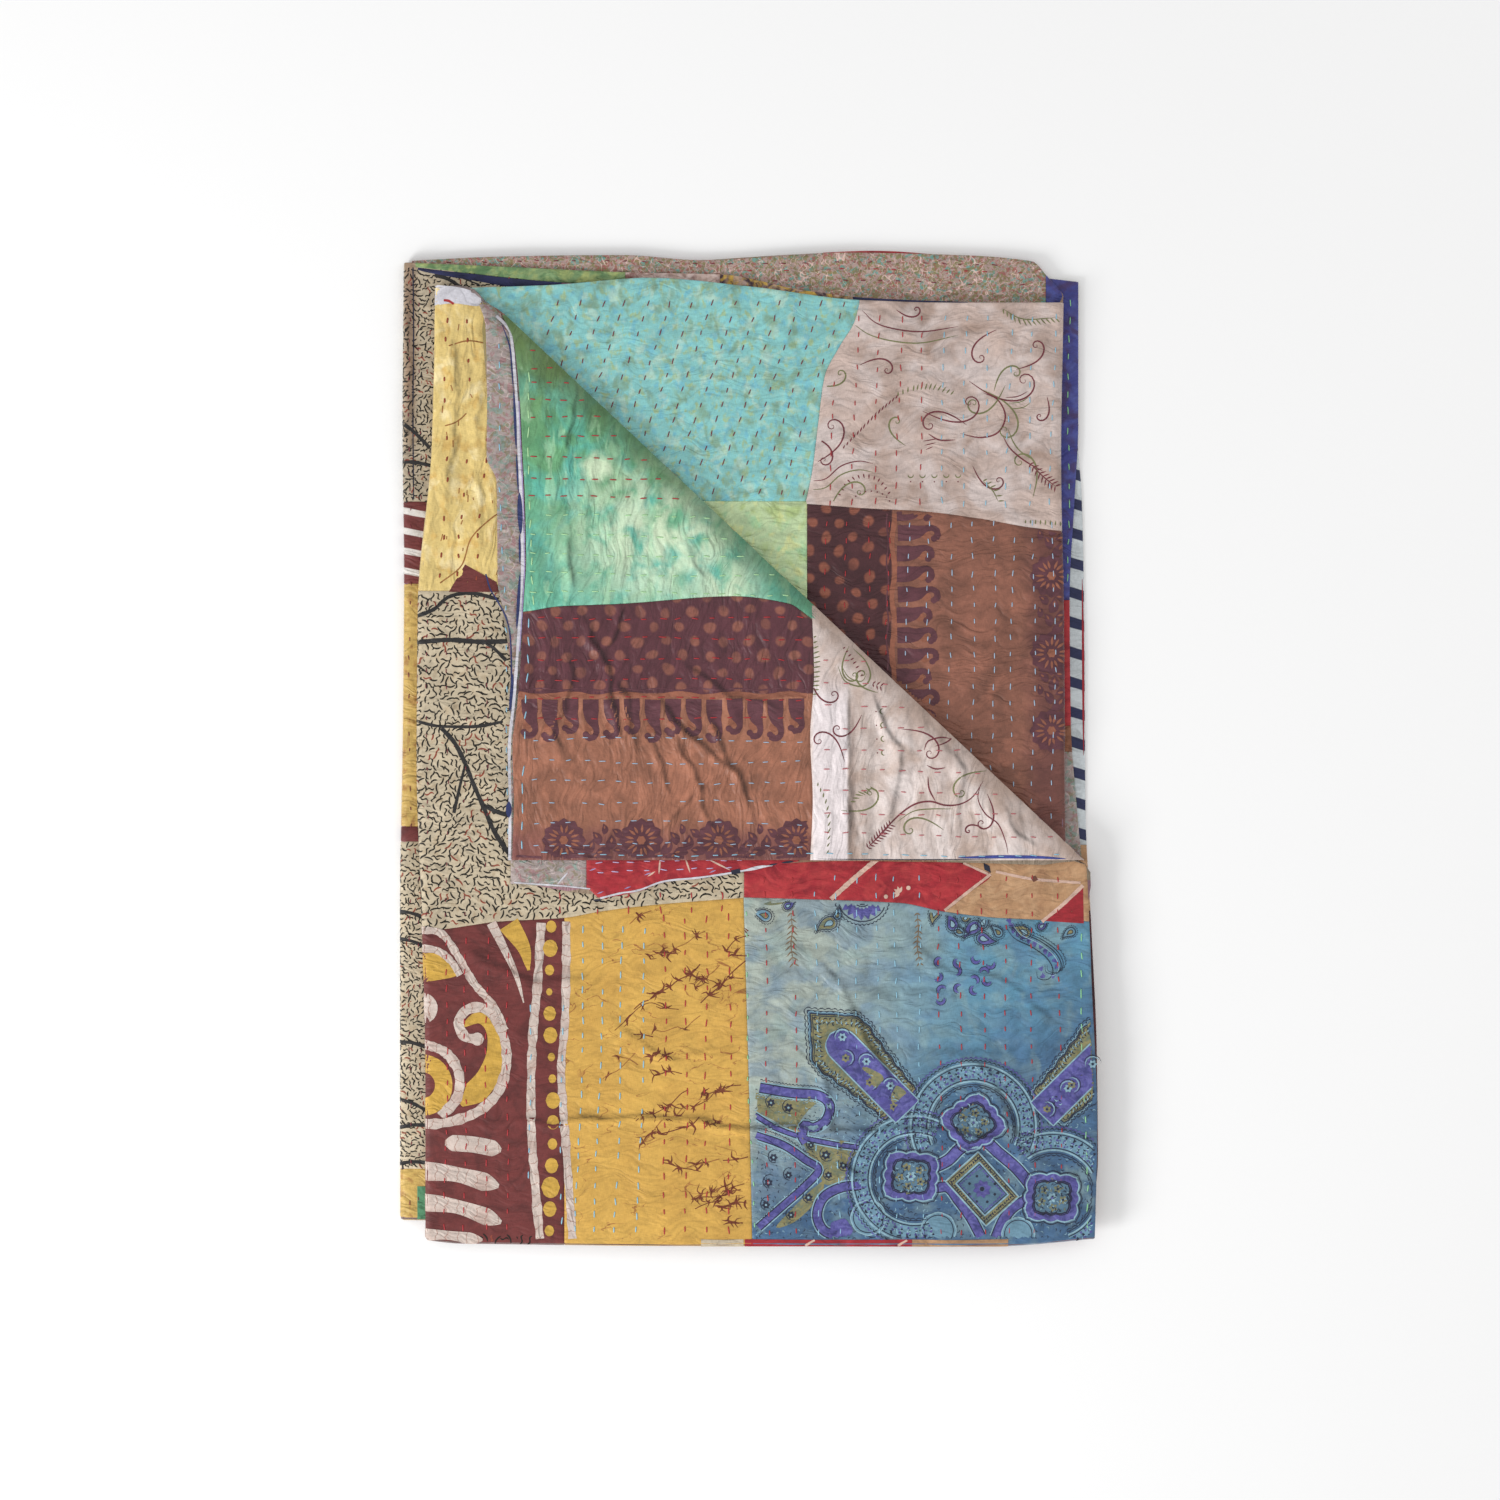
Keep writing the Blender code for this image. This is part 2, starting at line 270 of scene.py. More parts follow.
# A soft ridge, or a trough where height is negative, along a line of points that fades at its ends
def ridge(x, y, points, height, width):
    points = np.array(points, float)
    best, share, steep = np.full(x.shape, 1e9), np.zeros(x.shape), np.zeros(x.shape, bool)
    lengths = np.hypot(*np.diff(points, axis=0).T)
    total, run = lengths.sum(), 0.0
    for a, b, stretch in zip(points, points[1:], lengths):
        d = (b - a) / stretch
        t = np.clip((x - a[0]) * d[0] + (y - a[1]) * d[1], 0, stretch)
        near = np.hypot(x - a[0] - d[0] * t, y - a[1] - d[1] * t)
        closer = near < best
        side = (y - a[1]) * d[0] - (x - a[0]) * d[1]
        steep = np.where(closer, side * (0.56 * d[0] - 0.83 * d[1]) > 0, steep)
        best, share = np.where(closer, near, best), np.where(closer, (run + t) / total, share)
        run += stretch
    fade = ease(share * 4) * ease((1 - share) * 4)
    # the side away from the light falls steeply
    return height * np.exp(-(best / (width * np.where(steep, 0.45, 1.2))) ** 2) * fade


# (points, height, width) of the main creases
creases = {
    "front": (
        (((-245, -302), (-180, -300), (-90, -298), (0, -303), (30, -304), (120, -306), (200, -312),
          (280, -316)), 1.5, 5),
        (((40, -160), (75, -190), (95, -240), (130, -290)), 0.9, 7),
        (((110, -140), (150, -175), (200, -190), (255, -230)), 0.8, 8),
        (((20, -230), (60, -262), (70, -330), (110, -370)), 0.8, 7),
        (((150, -240), (190, -262), (215, -320), (262, -350)), 0.9, 8),
        (((-240, 350), (-236, 270), (-243, 180)), 0.9, 6),
        (((-216, 300), (-219, 240), (-213, 150)), 0.7, 5),
        (((-250, 40), (-222, 20), (-200, 30)), 0.6, 6),
        (((-240, -160), (-170, -190), (-110, -180)), 0.8, 8),
        (((-120, -220), (-60, -250), (-10, -240)), 0.8, 8),
    ),
    "flap": (
        (((-132, 115), (-126, 90), (-118, 78), (-112, 50), (-106, 26), (-98, -2)), 1.5, 4),
        (((-99, 116), (-106, 96), (-116, 78)), 1.3, 3.5),
        (((-112, 60), (-100, 40), (-96, 14), (-88, -10)), 1.0, 4),
        (((-66, 30), (-56, 2), (-44, -20), (-26, -70)), 1.0, 4),
        (((-30, 30), (-20, 0), (-8, -30)), 0.9, 4),
        (((-80, 10), (-66, -20), (-60, -40)), 0.8, 4),
        (((-142, 86), (-145, 46), (-154, 14), (-146, -21)), 1.0, 5),
        (((-80, 50), (-50, 10), (-10, -20), (10, -70)), 1.2, 6),
        (((-60, 70), (-10, 40), (30, 30)), 0.9, 6),
        (((-10, -10), (-60, -50), (-90, -80)), 0.9, 6),
        (((-139, 296), (-141, 270), (-144, 236)), 1.0, 3.5),
        (((-139, 180), (-143, 150), (-136, 124)), 0.9, 3.5),
        (((-104, 214), (-112, 190), (-108, 160)), 0.5, 5),
        (((-52, 176), (-46, 150), (-30, 128)), 0.5, 5),
        (((81, 60), (80, 0), (83, -84)), -0.5, 3),
        (((95, 50), (120, 0), (112, -70)), 1.0, 7),
        (((140, 20), (170, -20), (165, -75)), 0.9, 7),
        (((200, -40), (215, -70), (235, -84)), 0.7, 6),
    ),
    "left": ((((-275, 385), (-275, 200)), 0.8, 3.0),),
    "upper": (
        (((-60, 300), (-20, 296), (40, 302)), 0.3, 7),
        (((110, 240), (140, 232), (176, 236), (190, 214)), 0.4, 8),
        (((110, 150), (150, 144), (200, 150)), 0.4, 6),
        (((150, 90), (180, 96), (230, 90)), 0.4, 5),
        (((70, 120), (76, 96), (92, 80)), 0.5, 5),
    ),
}


# Height that creases and puckers add to the cloth
def relief(zone, x, y):
    add = np.zeros(x.shape)
    bentX = x + 3.5 * grain(x, y, 21, seed=21) + 1.5 * grain(x, y, 9, seed=22)
    bentY = y + 4 * grain(x, y, 23, seed=24)
    for points, height, width in creases.get(zone, ()):
        add = add + ridge(bentX, bentY, points, height * (1.6 + 0.5 * grain(x, y, 19, seed=25)),
            width * 0.75)
    if zone not in ("front", "flap", "upper"):
        return add + 0.15 * grain(x, y, 14, seed=9)
    add = add + 0.30 * grain(x, y, 60, seed=1) + 0.30 * grain(x, y, 24, seed=2)
    if zone == "flap":  # crumpled across its rows of stitches, with a pleat beside the seam
        add = add + 1.2 * ease((x - 48) / 5) * ease((82.5 - x) / 3) * ease((55 - y) / 40)
        return add + 0.9 * np.abs(grain(x, y, 15, 40, seed=4)) + 0.3 * grain(x, y, 9, 30, seed=14)
    silk = ease((x + 5) / 20) * ease((-y - 110) / 30) if zone == "front" else 0.5
    pucker = (0.3 + 0.8 * silk) * np.abs(grain(x, y, 24, 16, seed=5))
    return add + pucker + (0.2 + 0.2 * silk) * grain(x, y, 22, 9, seed=15)


foldMaps = {}
foldGrid = {"x": -300.0, "y": -410.0, "columns": 402, "rows": 548, "cell": 1.5}


# How far the cloth turns from the light or dips, and below nought along its crests
def foldShade(zone, x, y):
    spacing = foldGrid["cell"]
    if zone not in foldMaps:
        gx, gy = np.meshgrid(foldGrid["x"] + spacing * np.arange(foldGrid["columns"]),
            foldGrid["y"] + spacing * np.arange(foldGrid["rows"]), indexing="ij")
        acrossX, acrossY = np.gradient(relief(zone, gx, gy), spacing)
        dip = np.gradient(acrossX, spacing)[0] + np.gradient(acrossY, spacing)[1]
        foldMaps[zone] = np.clip(2.2 * dip - 1.5 * acrossX - 1.0 * acrossY, -0.5, 1.0)
    known = foldMaps[zone]
    u = np.clip((x - foldGrid["x"]) / spacing, 0, foldGrid["columns"] - 1.01)
    v = np.clip((y - foldGrid["y"]) / spacing, 0, foldGrid["rows"] - 1.01)
    i, j = u.astype(int), v.astype(int)
    s, t = u - i, v - j
    low = known[i, j] * (1 - s) + known[i + 1, j] * s
    high = known[i, j + 1] * (1 - s) + known[i + 1, j + 1] * s
    return low * (1 - t) + high * t


# The least height of the relief near a place, for what lies below the patches
def lowest(zone, x, y, around=5.0):
    spots = [(a, b) for a in (-around, 0, around) for b in (-around, 0, around)]
    return np.minimum.reduce([relief(zone, x + a, y + b) for a, b in spots])


# A zone is one visible face of the cloth: its layer, which way it faces, and its relief.
zones = {
    "front": (1, 1), "upper": (3, 1), "left": (5, 1), "band": (6, -1), "right": (7, 1), "rim": (8, -1),
    "flap": (None, 1), "facing": (None, -1), "back": (8, 1), "side": (4, 1),
}


# The spot in space at a height above the ground sheet's face, in a zone
def place(zone, x, y, lift):
    x, y, lift = (np.array(a, float) for a in np.broadcast_arrays(x, y, lift))
    layer, facing = zones[zone]
    if layer is None:
        offset = cloth["half"] + lift if facing == 1 else cloth["half"] + lift - cloth["ply"]
        newX, newY, z = onFlap(x, y, offset)
        z = z + relief("flap", x, y) * ease((-outOf(x, y) - 4) / 14) * (1 if facing == 1 else 0.6)
    else:
        newX, newY, z = onLayer(layer, x, y, facing * (cloth["half"] + lift))
        z = z + relief(zone, x, y) * (z > foldZ((3, 4)) + 1) * (z > layerZ(layer) - 0.3)
    return newX, newY, swell(newX, newY, z)


def makePiece(name, points, faces, material, uv=None, fold=None):
    mesh = bpy.data.meshes.new(name)
    points = np.asarray(points, float).reshape(-1, 3) * mm
    faces = np.asarray(faces, np.int32)
    sides = faces.shape[1]
    mesh.vertices.add(len(points))
    mesh.vertices.foreach_set("co", points.ravel())
    mesh.loops.add(faces.size)
    mesh.loops.foreach_set("vertex_index", faces.ravel())
    mesh.polygons.add(len(faces))
    mesh.polygons.foreach_set("loop_start", np.arange(len(faces)) * sides)
    mesh.polygons.foreach_set("use_smooth", np.ones(len(faces), bool))
    if uv is not None:
        layer = mesh.uv_layers.new(name="cloth")
        layer.data.foreach_set("uv", np.asarray(uv, float).reshape(-1, 2)[faces.ravel()].ravel())
    # fold carries the painted shade of the creases, and painted highlight on their crests, for the
    # materials to scale the colour by
    if fold is not None:
        mesh.attributes.new("fold", "FLOAT", "POINT").data.foreach_set("value", fold)
    mesh.update(calc_edges=True)
    mesh.validate()
    mesh.materials.append(material)
    piece = bpy.data.objects.new(name, mesh)
    bpy.context.scene.collection.objects.link(piece)
    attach(piece, "root")
    return piece


def gridFaces(rows, columns, start=0, flip=False):
    i, j = np.meshgrid(np.arange(rows - 1), np.arange(columns - 1), indexing="ij")
    a = start + i * columns + j
    quads = np.stack([a, a + columns, a + columns + 1, a + 1], -1).reshape(-1, 4)
    return quads[:, ::-1] if flip else quads


# The walls between two grids' outlines
def rimFaces(rows, columns, start, other, flip=False):
    loop = np.concatenate([
        np.arange(columns), np.arange(1, rows) * columns + columns - 1,
        (rows - 1) * columns + np.arange(columns - 2, -1, -1), np.arange(rows - 2, -1, -1) * columns])
    a, b = start + loop[:-1], start + loop[1:]
    c, d = other + loop[1:], other + loop[:-1]
    quads = np.stack([a, b, c, d], -1)
    return quads[:, ::-1] if flip else quads


# Vertices and faces of a sheet between two grids of points, shaped (rows, columns, 3)
def closedGrid(top, bottom):
    rows, columns = top.shape[:2]
    count = rows * columns
    points = np.concatenate([top.reshape(-1, 3), bottom.reshape(-1, 3)])
    faces = np.concatenate([
        gridFaces(rows, columns), gridFaces(rows, columns, count, True), rimFaces(rows, columns, 0, count)])
    # the outer face has to look away from the inner one
    a, b, c, _ = (points[gridFaces(rows, columns)[:, k]] for k in range(4))
    outward = (np.cross(b - a, c - a) * (a - points[gridFaces(rows, columns)[:, 0] + count])).sum()
    return points, faces if outward > 0 else faces[:, ::-1]


ground = {"runSteps": 58, "foldSteps": 8, "plySteps": 70, "bendSteps": 6, "flat": (1.53, 2.17), "sink": 0.3}


def sheetXY(level, u, v, half):
    layer = layerOf(level, half)
    x, y = np.zeros(v.shape), np.zeros(v.shape)
    for _ in range(4):
        left = foldCentre(layer, "left", v)
        right = foldCentre(layer, "right", v) if level in (2, 3) else along(rightHems[layer], y)
        x = left + u * (right - left)
        low = lowLine(layer, x)
        y = low + v * (along(topHems[layer], x) - low)
    return x, y, layer


# One row of the sheet, from the first half's top hem down, round the bottom fold and up
def groundRow(kind, level, share, v, second, turn, lift):
    radius = cloth["ply"] / 2 + lift
    offset, drop = radius * np.cos(turn), radius * np.sin(turn)

    def both(at, u):
        ax, ay, _ = sheetXY(at, u, v, 0)
        bx, by, _ = sheetXY(at, u, v, 1)
        return ax + second * (bx - ax), ay + second * (by - ay)

    up = 1 if level % 2 else -1
    if kind == "run":
        x, y = both(level, 1 - share if level % 2 else share)
        return np.stack([x, y - drop, levelZ(level) + up * offset], -1)
    side = 0.0 if level % 2 else 1.0
    x0, y0 = both(level, side)
    x1, y1 = both(level + 1, side)
    around = share * math.pi
    reach = cloth["level"] / 2 + up * offset
    x = x0 + share * (x1 - x0) + (-1 if level % 2 else 1) * reach * math.sin(around)
    z = levelZ(level) - cloth["level"] / 2 + reach * math.cos(around)
    return np.stack([x, y0 + share * (y1 - y0) - drop, z], -1)


def buildGround(material):
    v = np.linspace(1, 0, ground["plySteps"] + 1) ** 0.93
    bend = np.linspace(0, math.pi, ground["bendSteps"] + 1)
    shares = np.concatenate([v[:-1], np.zeros(len(bend)), v[:-1][::-1]])
    second = np.concatenate([np.zeros(len(v) - 1), bend / math.pi, np.ones(len(v) - 1)])
    turn = np.concatenate([np.zeros(len(v) - 1), bend, np.full(len(v) - 1, math.pi)])
    stations = []
    for level in range(1, 5):
        stations += [("run", level, s) for s in np.linspace(0, 1, ground["runSteps"] + 1)]
        if level < 4:
            stations += [("fold", level, s) for s in np.linspace(0, 1, ground["foldSteps"] + 1)[1:-1]]
    sides = []
    for lift in (cloth["half"], -cloth["half"]):
        rows = np.array([groundRow(*s, shares, second, turn, lift) for s in stations])
        x, y, z = rows[..., 0], rows[..., 1], rows[..., 2]
        level = np.array([s[1] for s in stations])[:, None] * np.ones(z.shape)
        isRun = np.array([s[0] == "run" for s in stations])[:, None] * np.ones(z.shape, bool)
        flat = isRun & (turn[None, :] % math.pi == 0)
        inFirst = level == 1
        newX, newY, newZ = turnBack(x, y, z, inFirst & (second[None, :] < 0.5), inFirst & isRun)
        past = inFirst & (outOf(x, y) > 0)
        above = flat & inFirst & (second[None, :] < 0.5) & ~past
        newZ = newZ + np.where(above, lowest("front", x, y) - ground["sink"], 0)
        newZ = newZ + np.where(flat & (level == 2) & (second[None, :] > 0.5),
            lowest("upper", x, y) - ground["sink"], 0)
        onTop = ease((-outOf(newX, newY) - 4) / 14)
        newZ = newZ + np.where(past, (lowest("flap", newX, newY) - ground["sink"]) * onTop, 0)
        sides.append(np.stack([newX, newY, swell(newX, newY, newZ)], -1))
    points, faces = closedGrid(*sides)
    across = np.cumsum(np.full(len(shares), 1.0))
    u, w = np.meshgrid(np.arange(len(stations)) * 12.0, across * 14.5, indexing="ij")
    uv = np.tile(np.stack([u, w], -1).reshape(-1, 2), (2, 1))
    piece = makePiece("folded_quilt", points, faces, material, uv)
    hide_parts("quilt")
    return piece


class Value:
    def __init__(self, tree, socket):
        self.tree = tree
        self.socket = socket

    def __add__(self, other):
        return calc("ADD", self, other)

    def __sub__(self, other):
        return calc("SUBTRACT", self, other)

    def __rsub__(self, other):
        return calc("SUBTRACT", other, self, tree=self.tree)

    def __mul__(self, other):
        return calc("MULTIPLY", self, other)

    def __truediv__(self, other):
        return calc("DIVIDE", self, other)

    __radd__ = __add__
    __rmul__ = __mul__


def plug(tree, socket, value):
    if isinstance(value, Value):
        tree.links.new(value.socket, socket)
    else:
        socket.default_value = value


def calc(operation, *values, tree=None):
    tree = tree or values[0].tree
    node = tree.nodes.new("ShaderNodeMath")
    node.operation = operation
    for socket, value in zip(node.inputs, values):
        plug(tree, socket, value)
    return Value(tree, node.outputs[0])


def high(a, b):
    return calc("MAXIMUM", a, b)


def unsigned(value):
    return calc("ABSOLUTE", value)


def repeat(value, pitch):
    return calc("FRACT", value / pitch) * pitch - pitch / 2


def number(value, pitch):
    return calc("FLOOR", value / pitch)


def length(a, b):
    return calc("SQRT", a * a + b * b)


# 0 below the edge and 1 above it
def step(value, edge, soft):
    node = value.tree.nodes.new("ShaderNodeMapRange")
    node.interpolation_type = "SMOOTHSTEP"
    plug(value.tree, node.inputs["Value"], value)
    plug(value.tree, node.inputs["From Min"], edge - soft)
    plug(value.tree, node.inputs["From Max"], edge + soft)
    return Value(value.tree, node.outputs[0])


def within(value, edge, soft):
    return 1 - step(value, edge, soft)


def band(value, middle, half, soft):
    return within(unsigned(value - middle), half, soft)


def vector(u, v, w=0.0):
    node = u.tree.nodes.new("ShaderNodeCombineXYZ")
    for socket, value in zip(node.inputs, (u, v, w)):
        plug(u.tree, socket, value)
    return Value(u.tree, node.outputs[0])


def noise(at, pitch, detail=2.0, warp=0.0, colour=False):
    node = at.tree.nodes.new("ShaderNodeTexNoise")
    plug(at.tree, node.inputs["Vector"], at)
    node.inputs["Scale"].default_value = 1 / pitch
    node.inputs["Detail"].default_value = detail
    node.inputs["Distortion"].default_value = warp
    return Value(at.tree, node.outputs[1 if colour else 0])


def cells(at, pitch, feature="F1", output="Distance", jitter=1.0):
    node = at.tree.nodes.new("ShaderNodeTexVoronoi")
    node.feature = feature
    plug(at.tree, node.inputs["Vector"], at)
    node.inputs["Scale"].default_value = 1 / pitch
    node.inputs["Randomness"].default_value = jitter
    return Value(at.tree, node.outputs[output])


# A colour from its sRGB values, 0 to 255
def ink(colour):
    shares = [c / 255 for c in colour]
    return tuple(c / 12.92 if c <= 10 / 255 else ((c + 0.055) / 1.055) ** 2.4 for c in shares) + (1,)


# a, with b over it where share is 1. Colours are sRGB triples or values
def blend(share, a, b, how="MIX"):
    tree = share.tree if isinstance(share, Value) else (a if isinstance(a, Value) else b).tree
    node = tree.nodes.new("ShaderNodeMix")
    node.data_type, node.blend_type = "RGBA", how
    plug(tree, node.inputs["Factor"], share)
    plug(tree, node.inputs["A"], a if isinstance(a, Value) else ink(a))
    plug(tree, node.inputs["B"], b if isinstance(b, Value) else ink(b))
    return Value(tree, node.outputs["Result"])


finish = {"rough": 0.6, "pucker": 1.5, "fine": 0.35, "crumple": 4.2, "sheen": 0.3, "bump": 1.0}


# A cotton material. paint gets u and v in millimetres of cloth and gives a colour
def fabric(name, paint, rough=None, pucker=1.0, rows="across", shine=0.35):
    material = bpy.data.materials.new(name)
    material.use_nodes = True
    tree = material.node_tree
    shader = tree.nodes["Principled BSDF"]
    source = tree.nodes.new("ShaderNodeUVMap")
    source.uv_map = "cloth"
    split = tree.nodes.new("ShaderNodeSeparateXYZ")
    tree.links.new(source.outputs[0], split.inputs[0])
    u, v = Value(tree, split.outputs[0]), Value(tree, split.outputs[1])
    at = vector(u, v)
    colour = paint(u, v, at)
    # puckers run across the rows of stitches, and soft creases cross them
    pitchU, pitchV = {"across": (17.0, 5.5), "along": (6.0, 20.0), "slanted": (8.0, 30.0)}[rows]
    bentU, bentV = u + noise(at, 70.0) * 50, v + noise(vector(v, u), 60.0) * 50
    puckers = noise(vector(bentU / pitchU + v / 90.0, bentV / pitchV), 1.0, 2.0)
    puckers = (puckers - 0.5) * (step(noise(at, 45.0), 0.5, 0.25) * 0.7 + 0.45) + 0.5
    crumple = unsigned(noise(vector(bentU / (pitchU * 1.8) - v / 60.0, bentV / (pitchV * 1.8)), 1.0, 2.0,
        0.4) - 0.5)
    fine = noise(at, 3.6, 2.0)
    height = (puckers * finish["pucker"] + crumple * finish["crumple"] + fine * finish["fine"]) * pucker
    # threads differ a little and the tone wanders at random; painted shade darkens the hollows of the
    # puckers and fine grain, and painted highlight lightens their crests
    thread = noise(vector(u * 0.25, v * 2.5), 1.0, 1.0) + noise(vector(u * 2.5, v * 0.25), 1.0, 1.0)
    wear = noise(at, 26.0, 3.0)
    shade = (thread - 1.0) * 0.4 + (wear - 0.5) * 0.35 + (puckers - 0.5) * 0.3 + (fine - 0.5) * 0.2 + 1.0
    folds = tree.nodes.new("ShaderNodeAttribute")
    folds.attribute_name = "fold"
    fold = Value(tree, folds.outputs["Fac"])
    # painted shade in the sharp creases of the crumple
    shade = shade - within(crumple, 0.03, 0.03) * 0.12
    # painted shade where the cloth turns from the light or dips, painted highlight along its crests
    shade = shade - high(fold, 0.0) * 0.55 + high(fold * -1.0, 0.0) * 0.2
    bright = tree.nodes.new("ShaderNodeVectorMath")
    bright.operation = "SCALE"
    tree.links.new(colour.socket, bright.inputs[0])
    tree.links.new(shade.socket, bright.inputs["Scale"])
    tree.links.new(bright.outputs[0], shader.inputs["Base Color"])
    bump = tree.nodes.new("ShaderNodeBump")
    bump.inputs["Strength"].default_value = finish["bump"]
    bump.inputs["Distance"].default_value = mm
    tree.links.new(height.socket, bump.inputs["Height"])
    tree.links.new(bump.outputs[0], shader.inputs["Normal"])
    shader.inputs["Roughness"].default_value = rough or finish["rough"]
    shader.inputs["Specular IOR Level"].default_value = shine
    shader.inputs["Sheen Weight"].default_value = finish["sheen"]
    shader.inputs["Sheen Roughness"].default_value = 0.4
    return material


def darker(colour, share=0.8):
    return tuple(k * share for k in colour)


# One colour with clouds of others over it
def mottle(*colours, pitch=24.0, warp=1.5, soft=0.13, level=0.53):
    def paint(u, v, at):
        out = colours[0]
        for k, colour in enumerate(colours[1:]):
            field = noise(vector(u + 37.0 * k, v + 11.0 * k), pitch / (1 + 0.35 * k), 4.0, warp)
            out = blend(step(field, level, soft) * 0.8, out, colour)
        return out
    return paint


# A plain dyed cloth with sparse, soft spots
def spotted(base, *spots, pitch=9.0):
    def paint(u, v, at):
        out = blend(noise(at, 60.0, 2.0), darker(base, 1.04), darker(base, 0.9))
        for k, spot in enumerate(spots):
            field = noise(vector((u + 51.0 * k) * 1.25, v + 17.0 * k), pitch * (1 + 0.4 * k), 3.0, 0.4)
            out = blend(step(field, 0.6, 0.09) * 0.75, out, spot)
        return out
    return paint


def batikGold(u, v, at):
    out = blend(step(noise(at, 34.0, 3.0), 0.5, 0.3) * 0.5, (216, 172, 84), (190, 142, 66))
    veins = within(unsigned(noise(vector(u * 0.6, v), 24.0, 3.0, 1.4) - 0.5), 0.006, 0.006)
    where = step(noise(at, 30.0, 1.0), 0.54, 0.06)
    return blend(veins * where * 0.8, out, (140, 74, 44))


# Green silk with pale clouds in the middle, dark olive along the turned-back edge and at the top: partly
# painted shade of the roll and partly the silk's own darker dye
def tieDye(u, v, at):
    out = blend(step(noise(at, 46.0, 3.0, 1.0), 0.5, 0.12), (108, 168, 120), (94, 184, 166))
    out = blend(step(noise(vector(u + 90.0, v), 22.0, 4.0, 0.8), 0.54, 0.12) * 0.5, out, (70, 132, 92))
    cloud = within(length((u + 70.0) * 0.8, v - 170.0), 52.0, 40.0)
    cloud = high(cloud, within(length(u + 20.0, v - 132.0), 26.0, 26.0))
    cloud = cloud * step(noise(vector(u, v * 0.8), 16.0, 5.0, 0.4), 0.44, 0.16)
    cloud = high(cloud, within(length(u + 120.0, (v - 224.0) * 1.2) + noise(at, 9.0, 3.0) * 16, 20.0, 8.0))
    out = blend(step(v * -1.0 + noise(at, 40.0) * 60, -150.0, 40.0) * 0.45, out, (112, 196, 178))
    out = blend(cloud * 0.85, out, (218, 234, 200))
    streaks = step(noise(vector(u * 2.2, v * 0.7), 20.0, 3.0, 0.5), 0.6, 0.05)
    out = blend(streaks * 0.45, out, (178, 222, 180))
    # painted shade, over darker dye, in a band along the turned-back edge
    back = u * -float(edgeOut[0]) + v * -float(edgeOut[1]) + float(edgeStart @ edgeOut)
    rim = within(back + noise(at, 18.0, 3.0) * 14 - 7.0, 14.0, 13.0)
    out = blend(rim * 0.6, out, (70, 104, 62))
    apex = step(v + noise(at, 16.0, 2.0) * 20, 285.0, 40.0)
    return blend(apex * 0.6, out, (104, 118, 58))


# Plum with staggered dots on one side of a line, and brown on the other
def dyedPrint(line, sign, alongU, plum, rust, brown):
    def paint(u, v, at):
        t, s = ((u - line) * sign, v) if not alongU else ((v - line) * sign, u)
        t = t + noise(at, 30.0, 1.0) * 4.0 - 2.0
        movedS, movedT = s + noise(at, 46.0) * 18.0, t + noise(vector(v, u + 60.0), 46.0) * 14.0 - 7.0
        odd = calc("FRACT", number(movedT, 12.0) * 0.5) * 2.0
        dots = length(repeat(movedS + odd * 11.2, 22.4), repeat(movedT, 12.0))
        spread = dots + noise(at, 6.0) * 1.4 - 0.7
        plumDyed = blend(step(noise(at, 30.0, 3.0), 0.5, 0.2) * 0.6, plum, darker(plum, 0.78))
        faded = step(noise(at, 26.0, 2.0), 0.4, 0.25) * 0.6 + 0.25
        dotted = blend(within(spread, 4.1, 1.1) * faded, plumDyed, rust)
        brownDyed = blend(step(noise(at, 34.0, 4.0, 0.8), 0.5, 0.2), brown, darker(brown, 0.82))
        brownDyed = blend(step(noise(vector(u + 70.0, v), 15.0, 3.0), 0.6, 0.1) * 0.4, brownDyed,
            darker(brown, 1.14))
        # the printed border is smudged
        brownDyed = blend(step(t + noise(at, 14.0, 3.0) * 30.0, 125.0, 12.0) * 0.6, brownDyed,
            darker(plum, 1.1))
        return blend(step(t, 0.0, 0.8), dotted, brownDyed)
    return paint


# A dense small-flowered print: blobs of several colours with pale curved lines
def smallPrint(base, *marks, pitch=13.0, strength=0.6):
    def paint(u, v, at):
        out = blend(step(noise(at, 20.0, 3.0), 0.5, 0.2) * 0.6, base, darker(base, 0.88))
        for k, mark in enumerate(marks):
            moved = vector(u + 51.0 * k, v + 17.0 * k)
            field = noise(moved, pitch / (1 + 0.3 * k), 3.0, 1.2)
            out = blend(step(field, 0.57, 0.04) * strength, out, mark)
        lines = within(unsigned(noise(at, pitch * 1.3, 0.0, 0.8) - 0.5), 0.012, 0.01)
        return blend(lines * strength, out, tuple(min(255, k * 1.3) for k in base))
    return paint


def stripes(first, second, period, share, slant=0.0, side="v"):
    def paint(u, v, at):
        t = (v if side == "v" else u) + (u if side == "v" else v) * slant + noise(at, 20.0) * 1.5
        return blend(within(unsigned(repeat(t, period)), period * share / 2, 0.4), first, second)
    return paint


patchShape = {
    "cell": 3.0, "fine": 2.3, "finer": 1.8, "edge": 0.8,  # grid steps
    "low": 0.02, "inner": 0.0, "outer": 0.5,  # heights over the ground sheet
    "wrap": (1.0, 2.5, 4.5, 7.0, 10.0),  # stations past the turned-back edge
}


# Stations over a run, with one close to each end so that the seam sinks
def shares(run, cell, edge):
    count = max(2, int(round((run - 2 * edge) / cell)))
    return np.concatenate([[0], np.linspace(edge / run, 1 - edge / run, count + 1), [1]])


# A side is a number, rows of (place, value), or a function of the place
def sideOf(side, at):
    if callable(side):
        return side(at)
    return np.full(at.shape, float(side)) if isinstance(side, (int, float)) else along(side, at)


